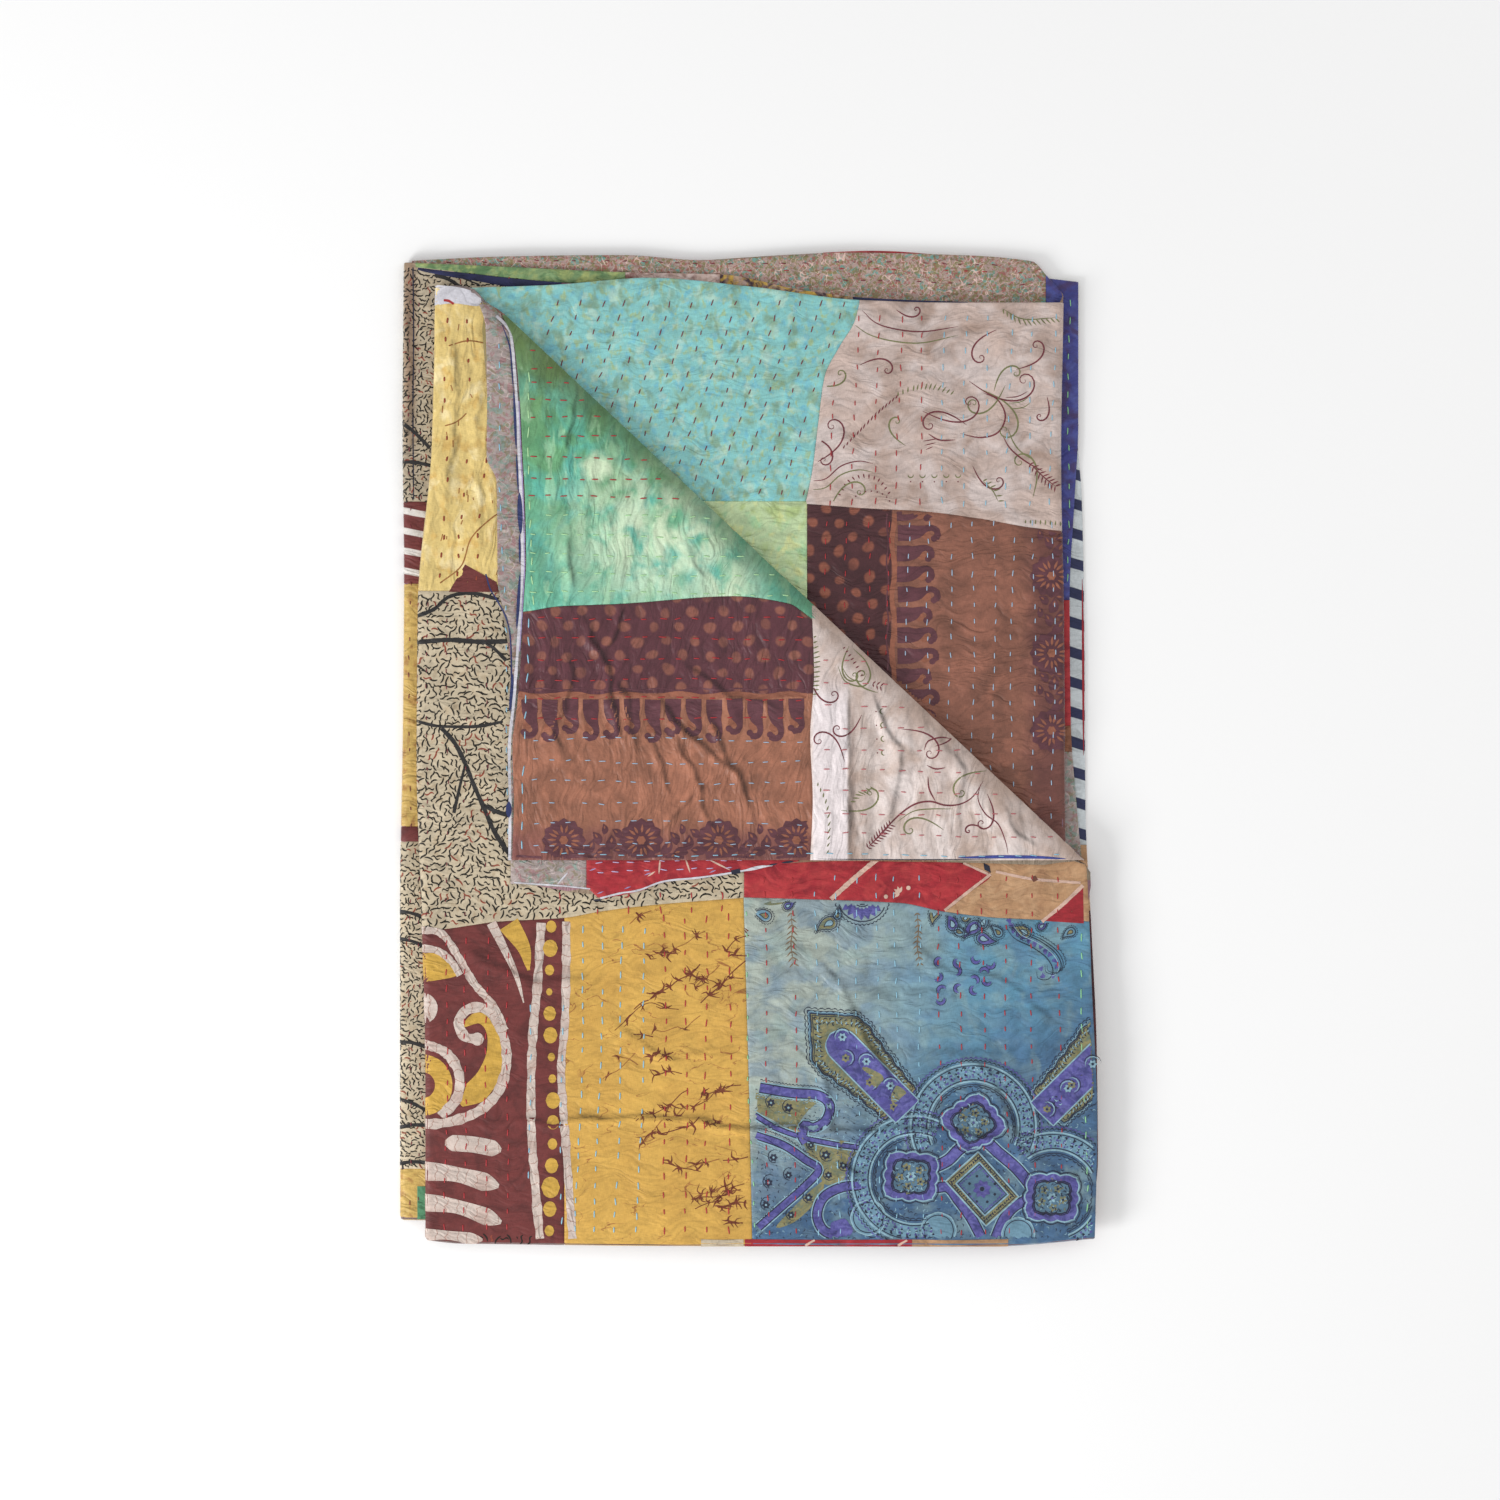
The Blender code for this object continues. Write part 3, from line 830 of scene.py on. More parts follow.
def patch(name, zone, left, right, bottom, top, cotton, cell=None, raised=0.0, wrap=False):
    cell = cell or patchShape["cell"]
    # how far the patch runs each way, for its stations
    probe = np.meshgrid(np.linspace(0, 1, 9), np.linspace(0, 1, 9), indexing="ij")
    probe = solvePatch(*probe, left, right, bottom, top)
    wide = max(8.0, float(np.ptp(probe[0], axis=0).max()))
    tall = max(8.0, float(np.ptp(probe[1], axis=1).max()))
    s, t = shares(wide, cell, patchShape["edge"]), shares(tall, cell, patchShape["edge"])
    x, y = solvePatch(*np.meshgrid(s, t, indexing="ij"), left, right, bottom, top)
    low, full = patchShape["low"] + raised, np.full(x.shape, patchShape["outer"] + raised)
    full[0] = full[-1] = low
    full[:, 0] = full[:, -1] = low
    if wrap:  # the last station lies on the turned-back edge, and more follow round it
        full[-1] = patchShape["outer"] + raised
        extra = np.array(patchShape["wrap"])[:, None]
        x = np.concatenate([x, x[-1] + edgeOut[0] * extra])
        y = np.concatenate([y, y[-1] + edgeOut[1] * extra])
        full = np.concatenate([full, np.repeat(full[-1:], len(extra), axis=0)])
    outer = np.stack(place(zone, x, y, full), -1)
    inner = np.stack(place(zone, x, y, np.full(x.shape, patchShape["inner"] + raised)), -1)
    points, faces = closedGrid(outer, inner)
    uv = np.tile(np.stack([x, y], -1).reshape(-1, 2), (2, 1))
    return makePiece(name, points, faces, cottons[cotton], uv, np.tile(foldShade(zone, x, y).ravel(), 2))


def solvePatch(s, t, left, right, bottom, top):
    x, y = np.zeros(s.shape), np.zeros(s.shape)
    for k in range(14):
        lower, upper = sideOf(bottom, x), sideOf(top, x)
        newY = lower + t * (upper - lower)
        a, b = sideOf(left, newY), sideOf(right, newY)
        newX = a + s * (b - a)
        x, y = (newX, newY) if k < 4 else ((x + newX) / 2, (y + newY) / 2)
    return x, y


# The seam's place a little way round a side fold
def foldSide(zone, side, past=6.0):
    layer = zones[zone][0]
    sign = -1 if side == "left" else 1
    return lambda y: foldCentre(layer, side, np.clip((y + 395) / 760, 0, 1)) + sign * (3.3 + past)


def hemTop(zone, over=0.3):
    layer = zones[zone][0]
    return lambda x: along(topHems[layer], x) + over


def hemRight(zone, over=0.3):
    layer = zones[zone][0]
    return lambda y: along(rightHems[layer], y) + over


def lowFold(zone, past=2.6):
    layer = zones[zone][0]
    return lambda x: lowLine(layer, x) - past


def insideEdge(distance):
    return lambda y: edgeX(y, distance)


def underEdge(distance):
    return lambda x: edgeY(x, distance)


# Grey-green silk that turns blue towards the bottom right
def paisleyGround(u, v, at):
    out = blend(step(u * 0.8 - v * 0.25 + noise(at, 50.0) * 70, 176.0, 70.0), (168, 178, 168),
        (94, 146, 172))
    out = blend(step(u * 0.5 - v + noise(at, 50.0) * 50, 360.0, 60.0), out, (66, 98, 132))
    out = blend(step(noise(at, 16.0, 3.0), 0.56, 0.08) * 0.35, out, (104, 128, 140))
    out = blend(step(noise(vector(u + 40.0, v * 1.6), 34.0, 3.0, 0.8), 0.54, 0.1) * 0.4, out,
        (84, 122, 160))
    out = blend(step(noise(vector(v, u + 90.0), 26.0, 3.0, 0.8), 0.58, 0.1) * 0.4, out, (150, 176, 172))
    return out


def pleatedPink(u, v, at):
    # a pale pleat beside the seam, painted lighter where it stands up to the light and with a painted
    # shadow along its right edge; painted shade browns the cloth towards the fold and in its wrinkles
    out = mottle((218, 202, 196), (196, 172, 158), (236, 224, 220), pitch=34.0, warp=0.6)(u, v, at)
    # painted shade towards the fold, where the silk rolls away from the light
    back = u * -float(edgeOut[0]) + v * -float(edgeOut[1]) + float(edgeStart @ edgeOut)
    out = blend(within(back + noise(at, 20.0, 3.0) * 24 - 12.0, 16.0, 16.0) * 0.55, out, (164, 134, 116))
    # painted shade of soft wrinkles
    folds = step(noise(vector(u / 12.0 + v / 40.0, v / 50.0), 1.0, 2.0), 0.56, 0.1) * 0.35
    out = blend(folds, out, (172, 150, 138))
    # painted shadow along the pleat's right edge, then painted shade fading out beyond it
    out = blend(within(unsigned(u - 84.0), 2.0, 4.0) * step(60.0 - v, 20.0, 20.0) * 0.75, out,
        (136, 114, 104))
    out = blend(band(u, 95.0, 10.0, 8.0) * step(60.0 - v, 20.0, 20.0) * 0.35, out, (158, 138, 126))
    # the pleat itself, painted lighter where it stands up to the light
    return blend(band(u, 66.0, 14.0, 1.5) * step(70.0 - v, 20.0, 20.0) * 0.85, out, (238, 228, 230))


# Cream speckled cloth, browned down the left strip's fold line towards the top: painted shade, with the
# dirt the crease holds
def shadedCream(u, v, at):
    out = spotted((192, 178, 154), (172, 154, 126))(u, v, at)
    return blend(within(unsigned(u + 272.0) + noise(at, 20.0) * 4, 7.0, 4.0) * step(v, 240.0, 60.0) * 0.6,
        out, (126, 84, 60))


seams = {
    "facingLeft": ((-110, -190), (38, -188.5), (78, -189.5), (102, -193), (134, -200), (214, -201),
                   (234, -209), (278, -208.5), (338, -209.5), (352, -213), (358, -216)),
    "facingLow": ((-190, -108), (-150, -110.5), (-127, -112.5), (-119, -119), (-87, -114), (-67, -106.5),
                  (-39, -103.5), (-3, -97), (41, -90)),
    "speckledLow": ((-266, -146), (-259, -146), (-199, -139), (-147, -136), (-119, -131), (-79, -126),
                    (-4, -120)),
    "wedgeTop": ((-270, 386.5), (-240, 383), (-151, 374), (-99, 371.5)),
}


def groundPaint(u, v, at):
    shade = cells(at, 170.0, "F1", "Color", 0.7)
    tint = cells(vector(u + 400.0, v), 90.0, "F1", "Distance")
    out = blend(0.84, shade, (136, 92, 76))
    return blend(step(tint, 0.5, 0.3) * 0.5, out, (160, 136, 126))


dyes = {
    "maroon": (112, 50, 48), "pale": (206, 190, 180), "red": (168, 40, 50), "tan": (186, 144, 106),
    "cream": (226, 190, 172), "ink": (36, 40, 72), "moss": (132, 160, 112), "navy": (45, 50, 85),
    "paleGrey": (205, 212, 215), "blue": (64, 68, 140), "brown": (150, 96, 70), "teal": (95, 150, 135),
    "olive": (124, 116, 70),
}
cottons = {
    "ground": fabric("cotton_ground", groundPaint),
    "yellow": fabric("cotton_yellow", spotted((232, 204, 130), (212, 172, 94), (246, 228, 176), pitch=14.0),
                     0.45, 1.5, "slanted"),
    "sideYellow": fabric("cotton_side_yellow", spotted((206, 172, 96), (160, 110, 60)), 0.5, 1.3),
    "speckled": fabric("cotton_speckled", spotted((202, 187, 160), (184, 164, 134)), 0.65, 0.9),
    "speckledShade": fabric("cotton_speckled_shade", shadedCream, 0.65, 0.8),
    "batik": fabric("cotton_batik", batikGold, 0.5, 0.7),
    "red": fabric("cotton_red", mottle(dyes["red"], (142, 30, 42), (186, 60, 62)), None, 0.7),
    "tan": fabric("cotton_tan", mottle(dyes["tan"], (164, 122, 90), (200, 160, 122)), None, 0.7),
    "paisley": fabric("silk_paisley", paisleyGround, 0.45, 1.15),
    "cyan": fabric("silk_cyan", spotted((140, 206, 204), (168, 186, 124), (112, 184, 204), (182, 214, 196),
                                        (128, 160, 130), pitch=7.0), 0.5, 0.6),
    "greenYellow": fabric("silk_green_yellow", spotted((196, 218, 170), (220, 222, 152), (150, 200, 154),
                                                       (170, 190, 120), pitch=13.0), 0.5),
    "tieDye": fabric("silk_tie_dye", tieDye, 0.42, 1.4, "along"),
    # brown clouds in the pink silk: partly painted shade of its rumples, partly uneven dye
    "vines": fabric("silk_vines", mottle((202, 180, 170), (160, 134, 120), (216, 202, 198), pitch=44.0,
                                         warp=0.6), 0.5, 0.9),
    "vinesPale": fabric("silk_vines_pale", pleatedPink, 0.42, 1.0, "along"),
    "flapPrint": fabric("cotton_dyed_print", dyedPrint(44.0, -1.0, True, (98, 54, 62), (148, 92, 76),
                                                       (170, 112, 88)), 0.5, 1.3, "along"),
    "upperPrint": fabric("cotton_dyed_print_dark", dyedPrint(115.0, 1.0, False, (78, 42, 46), (150, 88, 68),
                                                             (150, 98, 80)), 0.55, 1.3),
    "mauve": fabric("cotton_mauve_print", smallPrint((172, 158, 154), dyes["teal"], (156, 92, 100),
                                                     dyes["olive"], pitch=9.0, strength=0.5)),
    "band": fabric("cotton_band_print", smallPrint((182, 156, 148), (92, 160, 150), dyes["olive"],
                                                   (160, 88, 82), (134, 128, 84), pitch=6.0, strength=0.8)),
    "maroon": fabric("cotton_maroon", mottle(dyes["maroon"], darker(dyes["maroon"])), None, 0.6),
    "navy": fabric("cotton_navy", mottle(dyes["ink"], (44, 48, 92))),
    "greenStrip": fabric("cotton_green_strip",
                         mottle(dyes["moss"], (176, 184, 112), (84, 124, 80), pitch=16.0)),
    "pinkStrip": fabric("cotton_pink_strip",
                        mottle((200, 172, 160), dyes["maroon"], (226, 206, 200), pitch=14.0)),
    "darkStrip": fabric("cotton_dark_strip",
                        mottle((70, 50, 60), (205, 175, 160), (226, 184, 78), pitch=12.0)),
    "blue": fabric("cotton_blue", mottle(dyes["blue"], (84, 92, 160), (70, 50, 90))),
    "bars": fabric("cotton_bars", stripes(dyes["maroon"], (222, 216, 210), 16.0, 0.32, 0.2)),
    "stripe": fabric("cotton_stripe", stripes(dyes["paleGrey"], dyes["navy"], 24.0, 0.36, 0.3)),
    "edge": fabric("cotton_edge", mottle((92, 44, 48), (60, 32, 38))),
    "brown": fabric("cotton_brown", mottle(dyes["brown"], darker(dyes["brown"]))),
}


def makePatches():
    flapBottom, under = -89.0, 30
    flapLeft = ((-90, -188.5), (-42, -187), (2, -188), (38, -184), (78, -181), (118, -179), (150, -177),
        (198, -178), (238, -180), (278, -182), (326, -187), (342, -194), (350, -198))
    facingLeft, facingLow = seams["facingLeft"], seams["facingLow"]
    speckledLow, wedgeTop = seams["speckledLow"], seams["wedgeTop"]
    paisleyTop = ((-5, -119.5), (121, -124), (157, -131), (201, -136), (273, -139))
    redRight = ((-133, 155), (-117, 174), (-101, 194.5), (-96, 181), (-91, 170), (-70, 166))
    seamX = ((-396, 3), (-300, 1), (-119, -4))
    rollRight = ((126, -176), (322, -180), (345, -203), (372, -229))
    cyanRight = ((198, 46), (222, 51), (262, 56), (298, 61), (322, 73), (342, 85), (357, 89))
    pinkLow = ((44, 196), (97, 192), (137, 190), (185, 184), (225, 177), (262, 173))
    greenLow = ((-190, 109), (-177, 110), (-151, 114), (-103, 116), (-11, 122), (33, 116), (51, 103))
    flapSeam = ((-90, 50), (-40, 52), (10, 50), (60, 53), (117, 51))
    foldL, foldR = foldSide("front", "left"), foldSide("upper", "right")

    # the front
    patch("patch_yellow", "front", foldL, rollRight, 126, hemTop("front"), "yellow")
    patch("patch_speckled", "front", foldL, -3.5, speckledLow, 126, "speckled")
    patch("patch_maroon", "front", foldL, -147.5, lowFold("front"), speckledLow, "maroon",
        patchShape["fine"])
    patch("patch_batik", "front", -147.5, seamX, lowFold("front"), speckledLow, "batik", patchShape["fine"])
    patch("patch_red", "front", -3.5, redRight, paisleyTop, -70, "red")
    patch("patch_tan", "front", redRight, hemRight("front"), paisleyTop,
        lambda x: np.minimum(-70, edgeY(x) - 1.5), "tan")
    patch("patch_paisley", "front", seamX, hemRight("front"), lowFold("front"), paisleyTop, "paisley", 2.1)
    # the panel above and to the right of the turned-back corner
    patch("patch_cyan", "upper", insideEdge(under), cyanRight, 198, hemTop("upper"), "cyan")
    patch("patch_green_yellow", "upper", insideEdge(under), 47, 96, 198, "greenYellow")
    patch("patch_vines", "upper", cyanRight, foldR, pinkLow, hemTop("upper"), "vines")
    patch("patch_print", "upper", 47, foldR, underEdge(under), pinkLow, "upperPrint")
    # the turned-back corner
    patch("flap_green", "flap", flapLeft, insideEdge(0), greenLow, 347, "tieDye", patchShape["fine"],
        wrap=True)
    patch("flap_print", "flap", flapLeft, flapSeam, flapBottom, greenLow, "flapPrint", patchShape["finer"])
    patch("flap_vines", "flap", flapSeam, insideEdge(0), flapBottom, 115, "vinesPale", patchShape["finer"],
        wrap=True)
    # its lower layer, which reaches out past it
    patch("facing_side", "facing", facingLeft, -160, -92, 356, "mauve")
    patch("facing_grey", "facing", ((-112, -190), (-70, -189)), -129, facingLow, -70, "mauve")
    patch("facing_red", "facing", -129, 41, facingLow, -70, "red")
    # the lower panels' left strip
    leftStrip = [("speckledShade", None, 198), ("bars", 198, 132), ("sideYellow", 132, -63),
        ("maroon", -63, -75), ("speckled", -75, -338), ("sideYellow", -338, None)]
    for k, (cotton, upper, lower) in enumerate(leftStrip):
        patch(f"strip_{k + 1}", "left", foldSide("left", "left"), -236, lower or lowFold("left"),
            upper or hemTop("left"), cotton)
    patch("top_speckled", "left", -237, -160, 345, wedgeTop, "speckled")
    patch("top_green", "left", -268, -99, wedgeTop, hemTop("left"), "greenStrip", raised=0.15)
    wedgeFoot = ((-266, 384), (-259, 382), (-215, 374), (-189, 370), (-150, 372.5))
    patch("top_wedge", "left", -266, -150, wedgeFoot, wedgeTop, "navy", raised=0.2)
    for name, x0, x1, cotton in (
            ("pink", -99, -23, "pinkStrip"), ("dark", -23, 84, "darkStrip"), ("navy", 84, 176, "navy"),
            ("print", 176, 262, "mauve")):
        patch(f"top_{name}", "left", x0, x1, 342, hemTop("left"), cotton)
    patch("top_band", "band", -274, 239, 344, hemTop("band"), "band")
    patch("top_blue", "band", 239, 262, 344, hemTop("band"), "blue")
    # the back panel's edges
    patch("right_blue", "right", 225, hemRight("right"), 119, hemTop("right"), "blue")
    patch("right_red", "right", 225, hemRight("right"), 18, 119, "red")
    patch("right_plain", "right", 225, hemRight("right"), -3, 18, "brown")
    patch("right_print", "right", 225, hemRight("right"), -375, -3, "mauve")
    patch("rim_stripe", "rim", 235, hemRight("rim"), -78, 330, "stripe")
    patch("rim_tan", "rim", 235, hemRight("rim"), -131, -78, "tan")
    patch("rim_dark", "rim", 235, hemRight("rim"), -372, -131, "edge")
    patch("rim_red", "rim", 60, 150, 375, hemTop("rim"), "red")


groundSheet = buildGround(cottons["ground"])
print("ground sheet made")
makePatches()
print("patches made")

prints = {}
profiles = {
    "even": lambda t: np.ones(t.shape),
    "tip": lambda t: np.clip(1 - t, 0.04, 1) ** 0.6,
    "ends": lambda t: np.clip(np.sin(math.pi * t), 0.02, 1) ** 0.5,
    "bar": lambda t: np.clip(8 * t, 0.1, 1) ** 0.5 * np.clip(7 * (1 - t), 0.05, 1) ** 0.5,
    "finger": lambda t: np.clip(6 * (1 - t), 0.05, 1) ** 0.5 * (0.9 + 0.1 * np.sin(9 * t)),
    "cane": lambda t: np.interp(t, (0, 0.24, 0.42, 0.56, 0.66, 0.9, 0.96, 1),
                                (1, 1, 0.78, 0.44, 0.36, 0.4, 0.5, 0.2)),
    "comma": lambda t: np.interp(t, (0, 0.1, 0.35, 0.62, 0.85, 1), (0.2, 0.5, 0.6, 1.0, 1.15, 0.2)),
    "leaf": lambda t: np.clip(np.sin(math.pi * t**0.8), 0.01, 1),
    "disc": lambda t: np.sqrt(np.clip(1 - (2 * t - 1) ** 2, 0.004, 1)),
    "diamond": lambda t: np.clip(1 - np.abs(2 * t - 1), 0.01, 1),
    "rough": lambda t: 0.92 + 0.12 * np.sin(t * 37.0) * np.sin(t * 91.0 + 1.0),
}


def smooth(points, spacing=2.0, least=1):
    p = np.array(points, float)
    padded = np.vstack([2 * p[0] - p[1], p, 2 * p[-1] - p[-2]])
    out = []
    for k in range(len(p) - 1):
        a, b, c, d = padded[k:k + 4]
        count = max(least, int(np.hypot(*(c - b)) / spacing))
        t = np.arange(count)[:, None] / count
        bend = (2 * a - 5 * b + 4 * c - d) * t**2 + (3 * b - a - 3 * c + d) * t**3
        out.append(0.5 * (2 * b + (c - a) * t + bend))
    return np.concatenate([*out, p[-1:]])


def straight(points, spacing=2.5):
    pairs = zip(points, points[1:])
    sides = [np.linspace(a, b, max(2, int(math.dist(a, b) / spacing) + 1))[:-1] for a, b in pairs]
    return np.concatenate([*sides, [points[-1]]])


# Lay a print's grid on its cloth and hold it for its piece, without the corners no face uses
def keep(name, zone, x, y, faces, over, uv=None):
    spots = np.stack(place(zone, x, y, np.full(x.shape, patchShape["outer"] + 0.10 + 0.06 * over)), -1)
    uv = np.stack([x, y], -1) if uv is None else uv
    used, faces = np.unique(faces, return_inverse=True)
    held = prints.setdefault(name, [[], [], [], [], 0])
    held[0].append(spots.reshape(-1, 3)[used])
    held[1].append(faces.reshape(-1, 4) + held[4])
    held[2].append(uv.reshape(-1, 2)[used])
    held[3].append(foldShade(zone, x, y).ravel()[used])
    held[4] += len(used)


# A ribbon of one colour along a smooth line
def draw(colour, zone, points, width, shape="even", across=1, over=0, clip=None):
    line = smooth(points, 2.0, 8 if shape in ("leaf", "disc", "diamond") else 1)
    steps = np.hypot(*np.diff(line, axis=0).T)
    t = np.concatenate([[0], np.cumsum(steps)]) / max(steps.sum(), 1e-6)
    run = np.gradient(line, axis=0)
    run = run / np.maximum(np.hypot(run[:, 0], run[:, 1]), 1e-6)[:, None]
    normal = np.stack([-run[:, 1], run[:, 0]], -1)
    half = (width / 2 * profiles[shape](t))[:, None]
    if shape == "rough":
        half = half * (1 + 0.12 * grain(line[:, 0], line[:, 1], 6.0)[:, None])
    if width > 5:
        across = max(across, int(width / 3))
    offsets = np.linspace(-1, 1, across + 1)[None, :]
    x = line[:, :1] + normal[:, :1] * half * offsets
    y = line[:, 1:] + normal[:, 1:] * half * offsets
    faces = gridFaces(*x.shape)
    if clip is not None:
        inside = clip(x, y).ravel()
        faces = faces[inside[faces].all(axis=1)]
    uv = None
    if colour == "pale":  # cracks in the wax cross each line
        uv = np.stack([t[:, None] * steps.sum() + 0 * x + line[0, 0] * 7, offsets * half], -1)
    keep(colour, zone, x, y, faces, over, uv)


# The spot at a reach and a direction from a place
def polar(x, y, reach, a):
    return x + reach * math.cos(a), y + reach * math.sin(a)


def arc(x, y, radius, start, end, count=None):
    count = count or max(3, int(abs(end - start) / 30))
    a = np.radians(np.linspace(start, end, count + 1))
    return [(x + u, y + v) for u, v in zip(radius * np.cos(a), radius * np.sin(a))]


def dot(colour, zone, x, y, radius, over=0, squash=1.0):
    draw(colour, zone, [(x - radius, y), (x + radius, y)], 2 * radius * squash, "disc", 2, over)


def flower(colour, centre, zone, x, y, radius, petals=6, turn=0.0, over=0):
    for k in range(petals):
        a = math.radians(turn + 360 / petals * k)
        tip = polar(x, y, radius, a)
        heel = (x + (tip[0] - x) * 0.25, y + (tip[1] - y) * 0.25)
        draw(colour, zone, [heel, tip], radius * 0.62, "leaf", 2, over)
    dot(centre, zone, x, y, radius * 0.24, over + 1)


def printBatik():
    z, pale, gold = "front", "pale", "gold"
    # a border of dots between two pale lines
    draw(pale, z, [(-166, -140), (-169, -190), (-173, -235), (-174, -300), (-170, -360), (-167, -393)], 7.5,
        "rough", 2)
    draw(pale, z, [(-146, -139), (-146, -175), (-147, -220), (-150, -260), (-146, -320), (-141, -393)], 7,
        "rough", 2)
    for k in range(15):
        y = -143 - 17.4 * k
        big = 4.2 + 1.8 * math.sin(k * 1.7) + (1.4 if k > 9 else 0)
        dot(gold, z, -158 - 1.5 * math.sin(k * 0.55), y, big, 1, 1.15)
    # scrolls
    def wrapIn(x, y):
        return x > -271

    def onYellow(x, y):
        seam = along(((-147, -138), (-119, -133), (-79, -128), (-4, -122)), x)
        return (x < 0.5) & (x > -140) & (y > -391) & (y < seam)

    draw(pale, z, [(-270, -146), (-247, -148), (-233, -166), (-220, -188), (-204, -207), (-195, -226)], 6.5,
        "rough", 2, 1)
    fan(gold, z, (-252, -178), smooth([(-270, -166), (-256, -164), (-242, -168), (-232, -180), (-244, -185),
        (-270, -186), (-270, -166)], 3), 0, wrapIn)
    draw(pale, z, [(-270, -160), (-250, -162), (-238, -171), (-231, -182)], 6, "rough", 2, 1)
    fan(pale, z, (-258, -208), smooth([(-270, -196), (-256, -197), (-249, -206), (-252, -217), (-262, -221),
        (-270, -221), (-270, -196)], 3), 1, wrapIn)
    hook = [(-216, -233), (-227, -231), (-232, -220), (-226, -210), (-213, -208), (-202, -218),
        (-195, -235), (-194, -256), (-201, -276), (-215, -290), (-234, -298), (-252, -301), (-270, -300)]
    draw(pale, z, hook, 8.5, "rough", 2, 1)
    dot(pale, z, -217, -233, 5.2, 2)
    draw(gold, z, [(-228, -222), (-216, -216), (-206, -224), (-203, -244), (-208, -262), (-219, -276),
        (-230, -286)], 17, "comma", 6, 0)
    draw(pale, z, [*arc(-262, -268, 31, -60, 88), (-270, -237)], 8.5, "rough", 2, 1)
    draw(gold, z, [(-270, -252), *arc(-262, -270, 18, -88, 88)[::-1], (-270, -288)], 14, "even", 5, 0)
    draw(pale, z, [(-206, -140), (-196, -160), (-186, -182), (-180, -204)], 8, "tip", 3, 1)
    draw(gold, z, [(-192, -141), (-180, -160), (-176, -178)], 17, "tip", 5, 0)
    # finger bars
    for y, x0, x1, wide, drop in (
            (-316, -243, -198, 13, 6), (-338, -270, -200, 15, 13), (-363, -270, -198, 14, 17),
            (-389, -270, -213, 9, 5)):
        draw(pale, z, [(x0, y), ((x0 + x1) / 2, y - drop * 0.25), (x1, y - drop)], wide,
            "finger" if x0 < -250 else "bar", 5, 1, wrapIn)
    # crackle on the yellow cloth: thin lines that run up to the right, with little bursts along them
    for k in range(30):
        x, y = rng.uniform(-128, -30) + 14 * (k % 3), -150 - 8.0 * k + rng.normal(0, 5)
        lean, path = rng.normal(0.28, 0.25), [(x, y)]
        for n in range(rng.integers(2, 7)):
            burst = rng.random() < 0.28 + 0.4 * (x > -90)
            for a in rng.uniform(0, 6.28, rng.integers(3, 7) if burst else 0):
                reach = rng.uniform(2.0, 6.5) * (1 + 0.5 * abs(math.cos(a)))
                bend = a + rng.normal(0, 0.35)
                burr = [(x, y), polar(x, y, reach * 0.5, a), polar(x, y, reach, bend)]
                draw("crackle", z, burr, rng.uniform(1.0, 2.1), "tip", 1, 0, onYellow)
            x, y = x + rng.uniform(4, 11), y + rng.normal(8 * lean, 2.4)
            path.append((x, y))
        draw("crackle" if k % 3 else "fine", z, path, rng.uniform(0.6, 1.0), "rough", 1, 0, onYellow)


# Many short curved strokes at once. wave is 1 for those that bend like an S
def dashes(colour, zone, x, y, angle, reach, bend, width, over=0, wave=None):
    rows = 4 if wave is None else 6
    wave = np.zeros(x.shape) if wave is None else wave
    t = np.linspace(-1, 1, rows)[None, :, None]
    side = np.array([-1.0, 1.0])[None, None, :] * (1 - 0.5 * t**4)
    angle, reach, bend = (np.broadcast_to(a, x.shape) for a in (angle, reach, bend))
    x, y, angle, reach, bend, wave = (a[:, None, None] for a in (x, y, angle, reach, bend, wave))
    u = reach / 2 * t + 0 * side
    v = bend * np.where(wave > 0.5, 1.1 * np.sin(math.pi * t), 1 - t * t) + width / 2 * side
    px, py = x + u * np.cos(angle) - v * np.sin(angle), y + u * np.sin(angle) + v * np.cos(angle)
    faces = (np.arange(len(px))[:, None, None] * 2 * rows + gridFaces(rows, 2)[None]).reshape(-1, 4)
    keep(colour, zone, px, py, faces, over)


speckle = {  # (pitch, size) by zone, then the dashes' own sizes, turns and shares
    "front": (5.1, 1.0), "left": (3.9, 0.72), "jitter": 1.2, "turn": math.pi * 1.3, "stray": 0.42,
    "reach": (4.6, 7.6), "bend": (0.5, 1.2), "width": 1.3, "red": 0.09, "short": 0.07,
}


def printSpeckles():
    wedge, floor = seams["wedgeTop"], seams["speckledLow"]

    def underWedge(x, y):
        return y < along(wedge, x) - 1

    def overSeam(x, y):
        return y > along(floor, x) + 1.5

    for zone, x0, x1, y0, y1, inside in (
            ("front", -276, -3.5, -146, 126, overSeam), ("left", -284, -246, 198, 388, underWedge),
            ("left", -284, -258, -338, -75, None), ("left", -246, -160, 346, 384, underWedge),
            ("front", -234, -170, -395, -388, None)):
        pitch, scale = speckle[zone]
        gx, gy = np.meshgrid(np.arange(x0 + 2, x1 - 1.5, pitch), np.arange(y0 + 2, y1 - 1.5, pitch))
        gx = gx + (np.arange(len(gx)) % 2)[:, None] * pitch / 2
        x, y = (a.ravel() + rng.uniform(-speckle["jitter"], speckle["jitter"], a.size) for a in (gx, gy))
        good = (x < x1 - 1.5) & ~hidden(zone, x, y) & (x > foldSide(zone, "left", 4)(y))
        if inside is not None:
            good &= inside(x, y)
        x, y = x[good], y[good]
        lean = speckle["turn"] * grain(x, y, 19.0, seed=23) + rng.normal(0, speckle["stray"], x.size)
        reach = rng.uniform(*speckle["reach"], x.size)
        bend = rng.uniform(*speckle["bend"], x.size) * rng.choice([-1, 1], x.size)
        red = rng.random(x.size) < speckle["red"]
        wave = rng.random(x.size)
        reach = scale * np.where(rng.random(x.size) < speckle["short"], 1.2, reach)
        for colour, pick in (("black", ~red), ("redbrown", red)):
            dashes(colour, zone, x[pick], y[pick], lean[pick], reach[pick], scale * bend[pick],
                speckle["width"] * scale**0.5, 0, wave[pick])


